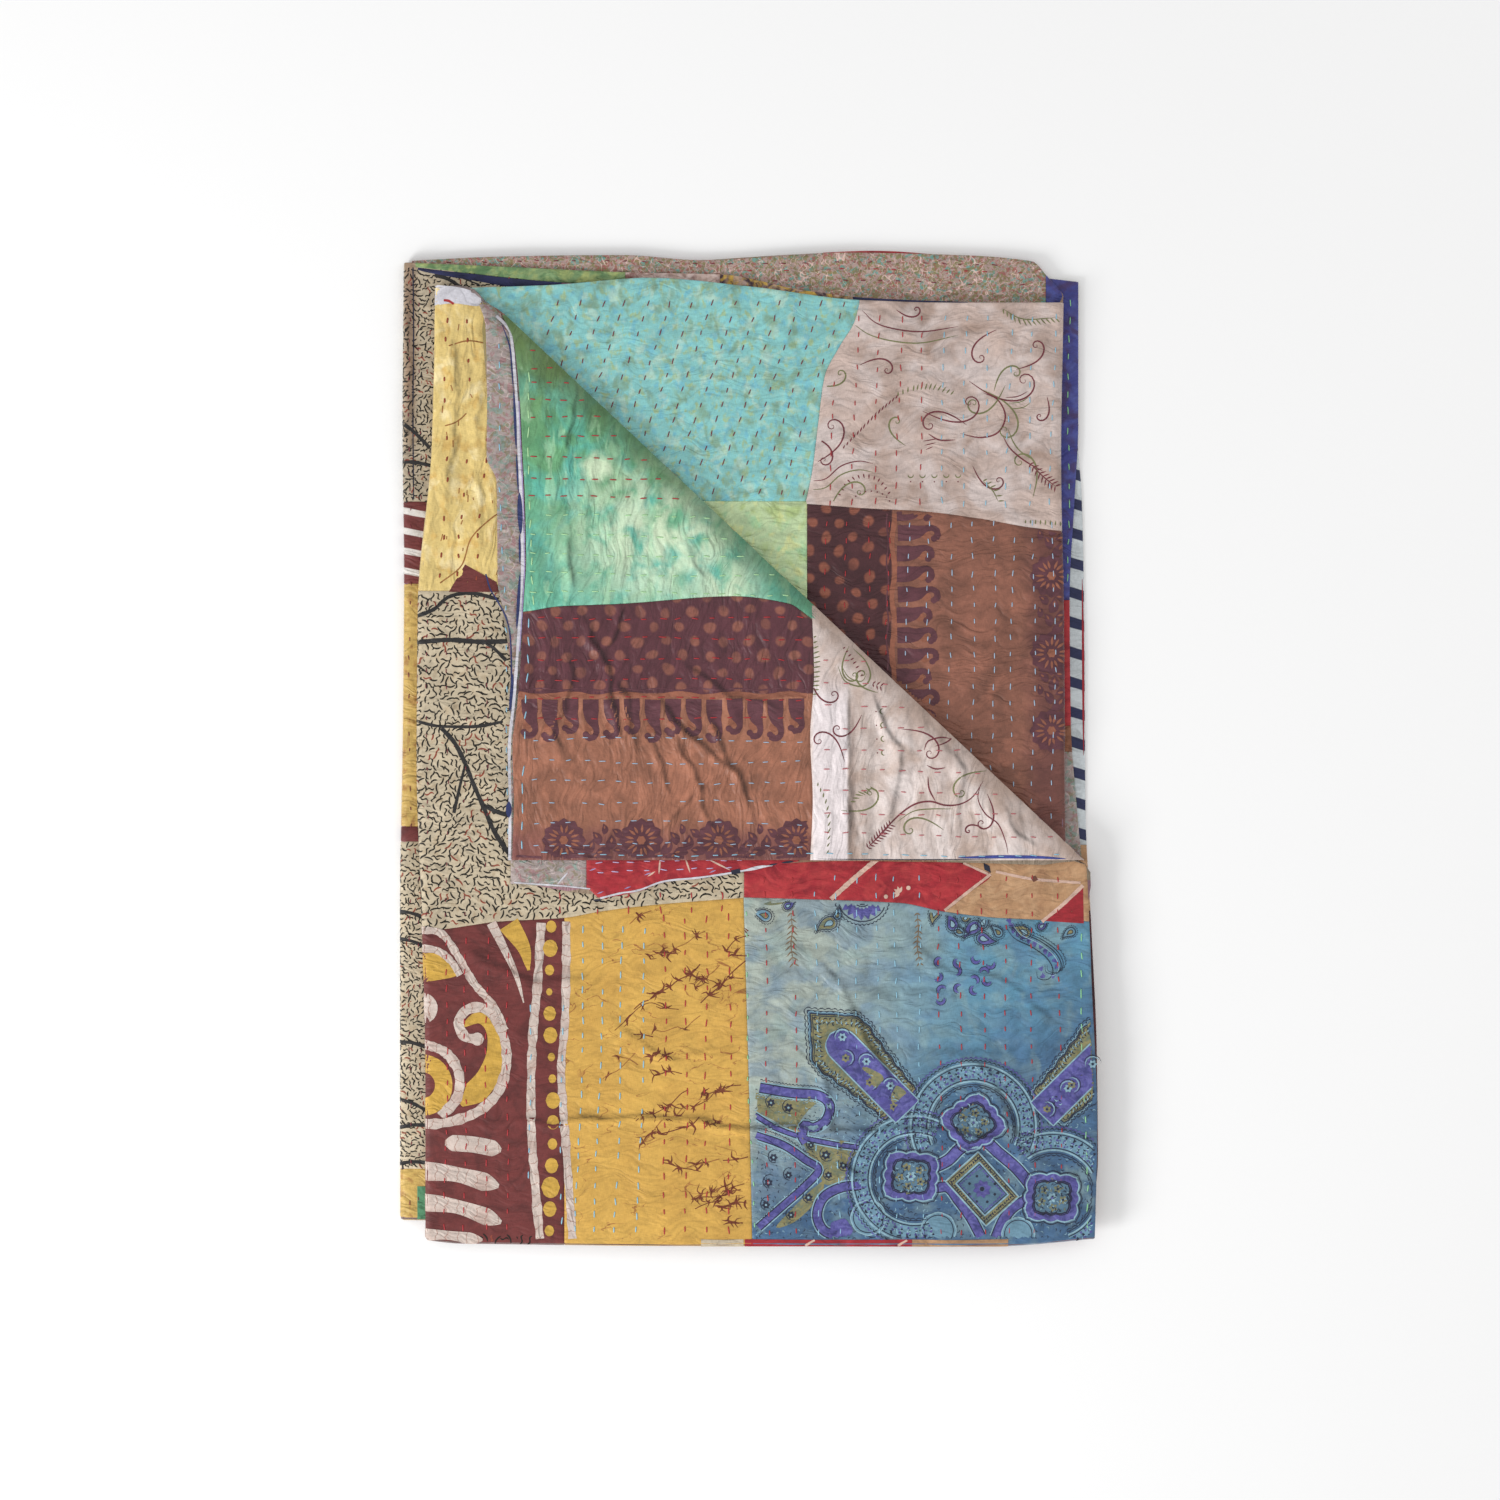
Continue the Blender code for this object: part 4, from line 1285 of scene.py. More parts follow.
def printBranches():
    for points, width in (
        (((-267, 105), (-252, 111), (-240, 121), (-222, 124), (-200, 119)), 3.2),
        (((-268, 84.5), (-240, 86.5), (-215, 85), (-190, 85.5)), 4.0),
        (((-210, 84), (-203, 79), (-194, 70)), 2.8),
        (((-267, 22), (-252, 18), (-235, 17), (-215, 17.5), (-197, 21)), 2.6),
        (((-246, 16), (-236, 5), (-228, -10), (-219, -32), (-211, -50), (-203, -68), (-187, -92)), 3.8),
        (((-226, -10), (-231, -30), (-236, -52)), 2.6),
        (((-212, -46), (-202, -51), (-191, -54)), 3.6),
    ):
        draw("branch", "front", points, width, "rough", 2, 1)
        for k in range(3):
            a, b = points[k % (len(points) - 1)], points[k % (len(points) - 1) + 1]
            draw("branch", "front", [a, (b[0] + (-1) ** k * width * 0.3, b[1] + 0.4 * width)], width * 0.3,
                "tip", 1, 1)
    for x0, y0, x1, y1 in (
            (-279, 262, -256, 241), (-281, 230, -252, 226), (-281, -131, -259, -137),
            (-281, -153, -259, -160), (-281, -236, -259, -240), (-281, -282, -259, -291),
            (-281, -305, -259, -303), (-281, -334, -259, -333)):
        draw("branch", "left", [(x0, y0), ((x0 + x1) / 2, (y0 + y1) / 2 + 1.2), (x1, y1)], 3.0, "rough", 2,
            1)
    draw("branch", "left", [(-252, 380), (-240, 376), (-228, 367), (-214, 355)], 3.2, "rough", 2, 1)
    draw("branch", "left", [(-226, 369), (-221, 366), (-213, 357)], 3.4, "rough", 2, 1)
    draw("branch", "left", [(-216, 372), (-234, 379)], 1.2, "rough", 1, 1)


# A filled shape about its middle
def fan(colour, zone, centre, outline, over=0, clip=None):
    outline, centre = np.array(outline, float), np.array(centre, float)
    reach = np.hypot(*(outline - centre).T).max()
    steps = np.linspace(0, 1, max(3, int(reach / 2.2) + 2))
    steps[0] = 0.02
    rings = np.stack([centre + (outline - centre) * s for s in steps])
    x, y = rings[..., 0], rings[..., 1]
    faces = gridFaces(*x.shape)
    if clip is not None:
        faces = faces[clip(x, y).ravel()[faces].all(axis=1)]
    keep(colour, zone, x, y, faces, over)


# Whether a direction lies between two angles in degrees
def between(x, y, start, end):
    return np.mod(np.degrees(np.arctan2(y, x)) - start, 360) < end - start


def lobed(x, y, radius, lobes, depth=0.14, squash=1.0, turn=0.0):
    a = np.linspace(0, 2 * math.pi, 4 * lobes + 1)
    r = radius * (1 + depth * np.cos(lobes * a + turn))
    return np.stack([x + r * np.cos(a), y + squash * r * np.sin(a)], -1)


border = {  # pitches, a finger's line from the seam to its hook, and the leaves between two rosettes
    "finger": 16.4, "rosette": 62.0, "petals": 14,
    "cane": ((0, 4.6), (0.1, 12), (0.8, 20), (3.6, 26.5), (4.4, 31.5), (2.4, 35.4), (-1.6, 36.2),
             (-4.4, 33.2)),
    "leaves": ((21, 6, 15, 40, 6.0), (27, -2, 12, 100, 5.5), (31, 9, 13, 170, 6.0), (38, 2, 13, 60, 6.5),
               (43, -6, 10, 120, 5.0), (24, 13, 10, 10, 4.5), (45, 8, 12, 150, 5.5), (33, -9, 9, 80, 4.0)),
}


def printBorders():
    def onFlapPrint(x, y):
        left = along(((-90, -187), (50, -184), (115, -179)), y)
        return (x < 49) & (x > left) & (y > -88)

    def onUpperPrint(x, y):
        top = along(((44, 195), (97, 191), (137, 189), (185, 183), (225, 176), (262, 172)), x)
        return (x < foldSide("upper", "right", 3)(y)) & (outOf(x, y) > 1) & (y < top)

    # u runs along the rows, and v away from the dots
    for zone, line, start, end, first, far, clip in (
            ("flap", 44.0, -181, 48, 34, 117.0, onFlapPrint),
            ("upper", 115.0, 18, 186, -4, 128.0, onUpperPrint)):
        def spot(u, v, zone=zone, line=line):
            return (u, line - v) if zone == "flap" else (line + v, u)

        run = np.arange(start - 4, end + 6, 6.0)
        draw("rust", zone, [spot(u, 1.2 + 1.2 * math.sin(u / 7.0)) for u in run], 4.6, "rough", 2, 0, clip)
        draw("plum", zone, [spot(u, -3.6 + 0.8 * math.sin(u / 5.0)) for u in run], 1.3, "rough", 1, 0, clip)
        for k in range(int((end - start) / border["finger"]) + 1):
            u0, squeeze = start + border["finger"] * (k + 0.4), 0.92 + 0.1 * math.sin(k * 2.3)
            cane = [spot(u0 + a + rng.normal(0, 0.2), b * squeeze) for a, b in border["cane"]]
            x, y = spot(u0 - 1.5, 27.2 * squeeze)
            fan("rust", zone, (x, y), lobed(x, y, 3.7, 4, 0.03), 0, clip)
            draw("plum", zone, cane, 12.6, "cane", 5, 1, clip)
            fan("plum", zone, cane[-1], lobed(*cane[-1], 2.5, 4, 0.0), 2, clip)
        # rosettes with leaves and buds between them, along the far edge
        for k in range(int((end - start) / border["rosette"]) + 2):
            u0 = start + first + border["rosette"] * k
            x, y = spot(u0, far)
            fan("plum", zone, (x, y), lobed(x, y, 16.5, 12, 0.07), 1, clip)
            for n in range(border["petals"]):
                a = 2 * math.pi * (n + 0.4 * k) / border["petals"] + rng.normal(0, 0.05)
                base = polar(x, y, 6.0, a)
                tip = (x + 13.5 * math.cos(a), y + (12.5 + rng.normal(0, 0.7)) * math.sin(a))
                draw("rust", zone, [base, tip], 2.0, "leaf", 2, 3, clip)
            fan("rust", zone, (x, y), lobed(x, y, 3.4, 6, 0.1), 3, clip)
            for du, dv, reach, turn, wide in border["leaves"]:
                a = math.radians(turn)
                p = spot(u0 + du, far + dv)
                half, third = reach / 2, reach / 3
                leaf = [polar(*p, -half, a), p, polar(*p, half, a + 0.5)]
                draw("plum", zone, leaf, wide * 1.25, "leaf", 3, 1, clip)
                draw("rust", zone, [p, polar(*p, third, a + 0.4)], wide * 0.3, "leaf", 1, 2, clip)
        edge = [spot(u, far + 14.5 + 0.8 * math.sin(u / 9.0)) for u in run]
        draw("plum", zone, edge, 4.0, "rough", 2, 1, clip)


# A row of small arches along a line
def scallops(colour, line, pitch, bulge, width, over):
    line = smooth(line, pitch)
    mid, run = (line[1:] + line[:-1]) / 2, np.diff(line, axis=0)
    angle, reach = np.arctan2(run[:, 1], run[:, 0]), np.hypot(run[:, 0], run[:, 1])
    good = onSilk(mid[:, 0], mid[:, 1])
    if good.any():
        dashes(colour, "front", mid[good, 0], mid[good, 1], angle[good], reach[good], bulge, width, over)


# Short marks along a line
def beads(colour, line, pitch, reach, width, over, turn):
    line = smooth(line, pitch)
    run = np.gradient(line, axis=0)
    x, y = line.T
    good = onSilk(x, y)
    if good.any():
        angle = np.arctan2(run[:, 1], run[:, 0])[good] + turn + rng.normal(0, 0.6, good.sum())
        reaches = reach * rng.uniform(0.7, 1.3, good.sum())
        dashes(colour, "front", x[good], y[good], angle, reaches, 0.3 * reach, width, over)


# Small curls strewn over an area
def scatter(colours, x0, x1, y0, y1, pitch, inside, reach, bend, width, over):
    gx, gy = np.meshgrid(np.arange(x0, x1, pitch), np.arange(y0, y1, pitch))
    x, y = (a.ravel() + rng.uniform(-0.4, 0.4, a.size) * pitch for a in (gx, gy))
    good = inside(x, y)
    x, y = x[good], y[good]
    pick = rng.integers(0, len(colours), x.size)
    for k, colour in enumerate(colours):
        own = pick == k
        turns, reaches = rng.uniform(0, 6.28, own.sum()), rng.uniform(0.7, 1.3, own.sum()) * reach
        dashes(colour, "front", x[own], y[own], turns, reaches, bend, width, over)


# shares of the way down a leaf, and its half width there
leafShape = ((0, 0.06, 0.14, 0.24, 0.3, 0.36, 0.52, 0.75, 1),
             (0, 0.2, 0.48, 0.84, 0.97, 1, 0.9, 0.76, 0.66))


def leafLine(tip, heel, wide, share=1.0, blunt=False):
    tip, heel = np.array(tip, float), np.array(heel, float)
    axis = heel - tip
    across = np.array([-axis[1], axis[0]]) / np.hypot(*axis)
    t = np.linspace(0, 1, 30)[:, None]
    half = wide / 2 * np.interp(t, *leafShape)
    half = half * (1 + 0.035 * np.cos(t * 46)) * across
    if blunt:
        half = wide / 2 * np.sqrt(np.clip(1 - ((0.16 - np.minimum(t, 0.16)) / 0.16) ** 2, 0, 1)) * across
    ring = np.concatenate([tip + axis * t + half, (tip + axis * t - half)[::-1]])
    centre = tip + axis * 0.5
    return centre + (ring - centre) * share


def framed(fill, centre, ring, over, line="outline", width=0.8):
    fan(fill, "front", centre, ring, over, onSilk)
    pen(line, ring, width, over + 1)


def banded(points, width):
    for colour, extra, over in (("sky", 3.6, 1), ("outline", 1.8, 2), ("violet", 0.0, 3)):
        pen(colour, points, width + extra, over, across=3)


# A four-pointed lobed frame round a bunch of flowers
def lobedFrame(x, y, turn, reach=25):
    for radius, fill, line, over in ((reach, "violet", "sky", 5), (reach * 0.66, "moss", "outline", 8)):
        a = np.linspace(0, 2 * math.pi, 97)
        r = radius * (1.06 - 0.26 * np.abs(np.sin(2 * a)) ** 0.6 + 0.08 * np.abs(np.sin(6 * a)))
        ring = np.stack([x + r * np.cos(a + turn), y + 0.9 * r * np.sin(a + turn)], -1)
        framed(fill, (x, y), ring, over, line, 1.1)
        pen("outline", (ring - (x, y)) * 1.09 + (x, y), 0.7, over)
    for k in range(5):
        a = turn + 2 * math.pi * k / 5
        px, py = x + 9 * math.cos(a), y + 8 * math.sin(a)
        flower("olive", "outline", "front", px, py, 3.6, 5, 20 * k, 10)
        pen("outline", arc(px, py, 4.4, 57 * a - 60, 57 * a + 90), 0.7, 10, "ends")
    flower("sky", "violet", "front", x, y, 4.2, 6, 0, 10)


# A curled drop with a heart, in pen lines, with a row of small arches round it
def drop(fill, x, y, reach, turn):
    a = np.linspace(0, 2 * math.pi, 25)
    px, py = np.cos(a), 0.8 * np.sin(a) * np.abs(np.sin(a / 2)) ** 1.3
    py, turn = py + 0.45 * np.clip(px, 0, 1) ** 2, math.radians(turn)
    cosine, sine = math.cos(turn), math.sin(turn)
    ring = reach * np.stack([px * cosine - py * sine, px * sine + py * cosine], -1)
    fan(fill, "front", (x, y), ring * 0.86 + (x, y), 0, onSilk)
    heart = ring * 0.45 + (x - 0.2 * reach * cosine, y - 0.2 * reach * sine)
    fan("olive" if fill == "haze" else "sky", "front", heart.mean(axis=0), heart, 1, onSilk)
    pen("outline", ring + (x, y), 0.7, 2)
    pen("outline", heart, 0.6, 2)
    scallops("outline", ring * 1.18 + (x, y), 2.5, -0.9, 0.55, 2)


paisley = {
    "top": ((-5, -122), (121, -126), (157, -133), (201, -138), (273, -141)),
    "ground": ((5, -262), (60, -272), (120, -288), (150, -262), (200, -250), (240, -262), (280, -245)),
    "olive": (  # (centre, outline) of the grounds at the left
        ((30, -290), ((6, -276), (40, -279), (58, -280), (48, -290), (40, -302), (44, -312), (20, -298),
                      (6, -290), (6, -276))),
        ((64, -330), ((42, -310), (60, -312), (88, -318), (82, -330), (78, -342), (72, -349), (60, -349),
                      (56, -338), (48, -326), (42, -310))),
        ((44, -362), ((60, -346), (60, -354), (50, -368), (36, -380), (22, -384), (34, -370), (48, -356),
                      (60, -346)))),
    "bands": (  # (width, points)
        (6.5, (9, -272), (34, -276), (56, -278), (65, -286), (62, -298), (52, -304), (45, -302), (43, -310),
         (46, -316)),
        (3.0, (5, -294), (22, -304), (44, -312), (68, -317), (88, -320)),
        (5.0, (6, -310), (28, -318), (46, -330), (56, -338), (44, -352), (26, -368), (8, -384)),
        (6.5, (90, -350), (74, -352), (60, -360), (55, -374), (60, -386), (72, -391))),
    "flowers": (  # (x, y, radius)
        (18, -284, 3.4), (32, -288, 3.8), (62, -326, 4.0), (76, -334, 3.6), (64, -342, 3.2),
        (48, -360, 3.6), (34, -374, 3.2), (50, -318, 2.8), (20, -328, 3.4), (16, -348, 3.6),
        (32, -342, 3.2), (14, -366, 3.4), (84, -372, 3.4), (98, -388, 3.0)),
    "leaves": (((47, -210), (124, -288)), ((317, -212), (238, -290))), "leafWide": 56,  # tips and heels
    "joins": (  # bands between the frames
        (8, (148, -336), (160, -330), (168, -322), (176, -317), (190, -316), (200, -324), (214, -336),
         (226, -350)),
        (7, (150, -352), (160, -352), (168, -362), (178, -376), (186, -391)),
        (7, (222, -362), (212, -368), (204, -378), (198, -392))),
    # (x, y, radius, first and last angle), then (x, y, turn), and (x, y, radius)
    "arches": ((180, -303, 43, -24, 204), (133, -345, 43, 66, 288), (244, -357, 42, -70, 126)),
    "frames": ((180, -300, 1.4), (130, -343, 0.7), (243, -360, 2.3)),
    "ends": ((152, -386, 14), (216, -389, 13), (96, -376, 14)),
    "diamond": (187, -353), "half": (91, -119),
    "drops": (  # (fill, x, y, reach, turn)
        ("haze", 11, -133, 8, 150), ("violet", 33, -126, 5, 20), ("olive", 62, -141, 9, 195),
        ("haze", 72, -133, 5, 60), ("olive", 148, -134, 7, 240), ("violet", 163, -139, 7.5, 100),
        ("haze", 170, -148, 6, 330), ("violet", 178, -145, 9, 210), ("olive", 175, -136, 4.5, 20),
        ("moss", 189, -138, 7, 60), ("violet", 190, -154, 8, 330), ("haze", 199, -146, 6, 120),
        ("olive", 219, -146, 8, 140), ("violet", 236, -142, 5, 30), ("haze", 256, -148, 6, 200)),
    "tail": ((208, -139), (216, -150), (230, -157), (242, -166), (247, -176), (243, -183), (235, -182),
             (234, -176)),
}


def onSilk(x, y):
    return (x < hemRight("front", -2.0)(y)) & (x > 5) & (y > -393) & (y < along(paisley["top"], x))


def pen(colour, points, width, over, shape="even", across=1):
    draw(colour, "front", points, width, shape, across, over, onSilk)


def paisleyBands():
    for centre, outline in paisley["olive"]:
        fan("olive", "front", centre, smooth(outline, 4), 0, onSilk)
    for width, *points in paisley["bands"]:
        banded(points, width)
    fan("violet", "front", (74, -386), lobed(74, -386, 9, 5, 0.08), 3, onSilk)
    for _, *points in paisley["bands"][::2]:
        scallops("outline", [(x, y + 6) for x, y in points], 2.6, 0.9, 0.6, 1)
        scallops("sky", [(x - 3, y - 6) for x, y in points], 2.8, 0.9, 0.6, 1)
    for x, y, radius in paisley["flowers"]:
        flower("outline", "sky", "front", x, y, radius, 6, 9 * x, 2)
        draw("outline", "front", arc(x + 1, y + 1, radius + 2.0, 40 + x, 260 + x), 0.7, "ends", 1, 2)


def paisleyLeaf(tip, heel):
    def outline(share):
        return leafLine(tip, heel, paisley["leafWide"], share)

    for share, fill, over in ((1.0, "moss", 1), (0.94, "olive", 3)):
        framed(fill, outline(share).mean(axis=0), outline(share), over, width=0.9)
    inner = leafLine(*([a + at * (b - a) for a, b in zip(tip, heel)] for at in (0.24, 1.04)), 26, 1.0, True)
    framed("violet", inner.mean(axis=0), inner, 7, "sky", 1.1)
    pen("outline", outline(0.90), 0.6, 5)
    scallops("outline", outline(1.04), 3.4, 1.3, 0.7, 2)
    scallops("sky", outline(0.97), 3.2, 0.9, 0.6, 4)
    for share, colour in ((0.84, "outline"), (0.78, "sky"), (0.74, "outline")):
        beads(colour, outline(share), 3.4, 2.8, 0.9, 5, 1.0)
    for k in range(6):
        t, turn = 0.32 + 0.125 * k, 90 * (k % 2)
        x, y = (a + (b - a) * t + 3.5 * (-1) ** k for a, b in zip(tip, heel))
        if onSilk(x, y):
            flower("olive" if k % 2 else "sky", "outline", "front", x, y, 3.6, 6, 30 * k, 9)
            draw("sky", "front", arc(x, y, 6.0, 200 - turn, 20 - turn), 0.9, "ends", 1, 9)
            draw("outline", "front", arc(x, y, 7.2, 180 - turn, 10 - turn), 0.6, "ends", 1, 9)


# A horseshoe: two pale lines, a beaded band between them and small scallops outside
def paisleyArch(x, y, r, start, end):
    def ring(add):
        return arc(x, y, r + add, start, end, int(abs(end - start) / 8))

    def inBand(px, py):
        return (onSilk(px, py) & (np.abs(np.hypot(px - x, py - y) - r) < 5)
            & between(px - x, py - y, start, end))

    pen("haze", ring(0), 13.5, 2, across=5)
    for add, width, colour in (
            (7.2, 1.3, "sky"), (5.6, 0.7, "outline"), (-5.6, 0.8, "outline"), (-7.0, 1.3, "sky")):
        pen(colour, ring(add), width, 4)
    scallops("outline", ring(9.0), 3.0, -1.4, 0.9, 4)
    scallops("violet", ring(11.0), 3.0, -1.3, 1.1, 4)
    for add, colour, reach, width in (
            (3.4, "outline", 2.4, 1.7), (1.2, "violet", 2.2, 1.8), (-1.4, "outline", 2.2, 1.5),
            (-3.6, "violet", 2.0, 1.4), (0, "sky", 1.6, 1.2)):
        beads(colour, ring(add), 3.5, reach, width, 4, 0.8 + (r + add))
    scatter(("outline", "violet", "sky"), x - r - 8, x + r + 8, y - r - 8, y + r + 8, 3.4, inBand, 1.8, 0.5,
        1.0, 5)
    pen("outline", ring(-9.5), 0.6, 4)
    scallops("outline", ring(-10.5), 3.2, 0.9, 0.7, 4)


# A diamond in two frames, with a ring of dots
def paisleyDiamond(x, y):
    corners = np.radians((96, 168, 276, 348, 456))
    for reach, fill, mark, over in ((30, "olive", "outline", 6), (21.5, "moss", "violet", 8)):
        ring = straight([polar(x, y, reach, a) for a in corners])
        framed(fill, (x, y), ring, over, "sky", 1.2)
        pen("outline", (ring - (x, y)) * 0.93 + (x, y), 0.6, over + 2)
        beads(mark, (ring - (x, y)) * 0.85 + (x, y), 3.0, 2.2, 1.2, over + 1, 0.8)
    flower("violet", "outline", "front", x, y, 7.5, 8, 12, 9)
    for k in range(8):
        a = math.radians(45 * k + 22)
        dot("outline", "front", *polar(x, y, 11, a), 1.1, 9)


# A half rosette, a hooked leaf, drops, a scalloped tail, two sprigs and small hooks
def paisleyTop():
    x, y = paisley["half"]
    for k in range(9):
        a = math.radians(196 + 18 * k)
        pen("violet", [polar(x, y, r, a) for r in (9, 19)], 5.2, 1, "leaf", 2)
    for radius in (6.5, 8, 20):
        pen("outline", arc(x, y, radius, 185, 355), 0.8, 2)
    scallops("outline", arc(x, y, 22, 185, 355), 3.0, -1.2, 0.8, 2)
    pen("olive", [(12, -125), (22, -124), (32, -123)], 3.4, 0, "leaf", 2)
    for row in paisley["drops"]:
        drop(*row)
    tail = paisley["tail"]
    beads("violet", tail, 4.4, 4.2, 3.2, 1, 1.2)
    for shift, width in ((3.4, 0.8), (5.0, 0.6), (-3.2, 0.7)):
        pen("outline", [(x + shift, y + shift * 0.7) for x, y in tail], width, 2, "ends")
    scallops("outline", [(x + 6.5, y + 4.5) for x, y in tail[:6]], 2.4, 1.0, 0.6, 2)
    pen("sky", [(x + 1.6, y + 1.0) for x, y in tail], 0.8, 2, "ends")
    for x, tick in ((34, 6.0), (135, 4.4)):
        stem = [(x, -132), (x + 1, -146), (x, -158), (x + 2, -172)]
        feather("twig", "front", stem, tick, 3.6, 48, (1, -1), True, onSilk)
    for k in range(13):
        x, y = 154 + 13 * (k % 4) + rng.normal(0, 2.5), -170 - 11 * (k // 4) + rng.normal(0, 2.5)
        pen("violet", arc(x, y, 3.2, 60 + 40 * k, 270 + 40 * k), 2.3, 1, "ends")
        pen("outline", arc(x, y, 4.6, 80 + 40 * k, 260 + 40 * k), 0.6, 1, "ends")
        pen("outline", arc(x, y, 1.8, 80 + 40 * k, 260 + 40 * k), 0.5, 2, "ends")


def printPaisley():
    def underLine(x, y):
        return onSilk(x, y) & (y < along(paisley["ground"], x))

    scatter(("outline", "sky", "outline", "moss"), 6, 280, -392, -270, 4.6, underLine, 2.4, 0.8, 0.6, 0)
    paisleyBands()
    for tip, heel in paisley["leaves"]:
        paisleyLeaf(tip, heel)
    for width, *points in paisley["joins"]:
        banded(points, width)
    for row in paisley["arches"]:
        paisleyArch(*row)
    for row in paisley["frames"]:
        lobedFrame(*row)
    paisleyDiamond(*paisley["diamond"])
    for x, y, r in paisley["ends"]:
        framed("haze", (x, y), lobed(x, y, r, 8, 0.02), 3, "sky", 1.1)
        pen("outline", arc(x, y, r - 2, 0, 360, 16), 0.7, 4)
    paisleyTop()
    for x, y, _ in paisley["frames"]:
        scatter(("outline", "olive", "sky", "outline"), x - 17, x + 17, y - 15, y + 15, 3.3,
            lambda px, py, x=x, y=y: onSilk(px, py) & (np.hypot(px - x, py - y) < 15), 2.4, 0.8, 0.8, 11)


# A vine that winds up tighter and tighter
def curl(colour, zone, x, y, reach, turn=0.0, hand=1, clip=None, wide=1.3):
    t = np.linspace(0, 1, 24)
    heading = math.radians(turn) + hand * (9.4 * t**2.2 - 0.8)
    path = np.stack([np.cumsum(np.cos(heading) * (1.14 - t)), np.cumsum(np.sin(heading) * (1.14 - t))], -1)
    path = (path - path.mean(axis=0)) * 1.75 * reach / np.ptp(path, axis=0).max()
    draw(colour, zone, path + (x, y), wide, "ends", clip=clip)


# A row of short ticks, on one or both sides of a line
def feather(colour, zone, points, tick=5.0, pitch=3.2, lean=65, sides=(1,), stem=True, clip=None):
    if stem:
        draw(colour, zone, points, 0.9, "ends", clip=clip)
    line = smooth(points, pitch)
    run = np.gradient(line, axis=0)
    for k in range(len(line)):
        a = math.atan2(run[k][1], run[k][0])
        for side in sides:
            b = a + side * math.radians(lean)
            reach = tick * (0.75 + 0.35 * math.sin(3.0 * k / len(line)))
            end = polar(*line[k], reach, b)
            draw(colour, zone, [tuple(line[k]), end], 1.1, "leaf", clip=clip)


# Little hooks with a dot beside each
def vees(colour, zone, x, y, count, pitch, turn=0.0, clip=None):
    a = math.radians(turn)
    for k in range(count):
        px, py = polar(x, y, pitch * k, a)
        draw(colour, zone, arc(px, py, 2.2, 170 + turn, 370 + turn), 1.0, "ends", clip=clip)
        dot("vine" if colour != "vine" else "leafgreen", zone, px + 5.5 * math.sin(a),
            py - 5.5 * math.cos(a), 0.55)


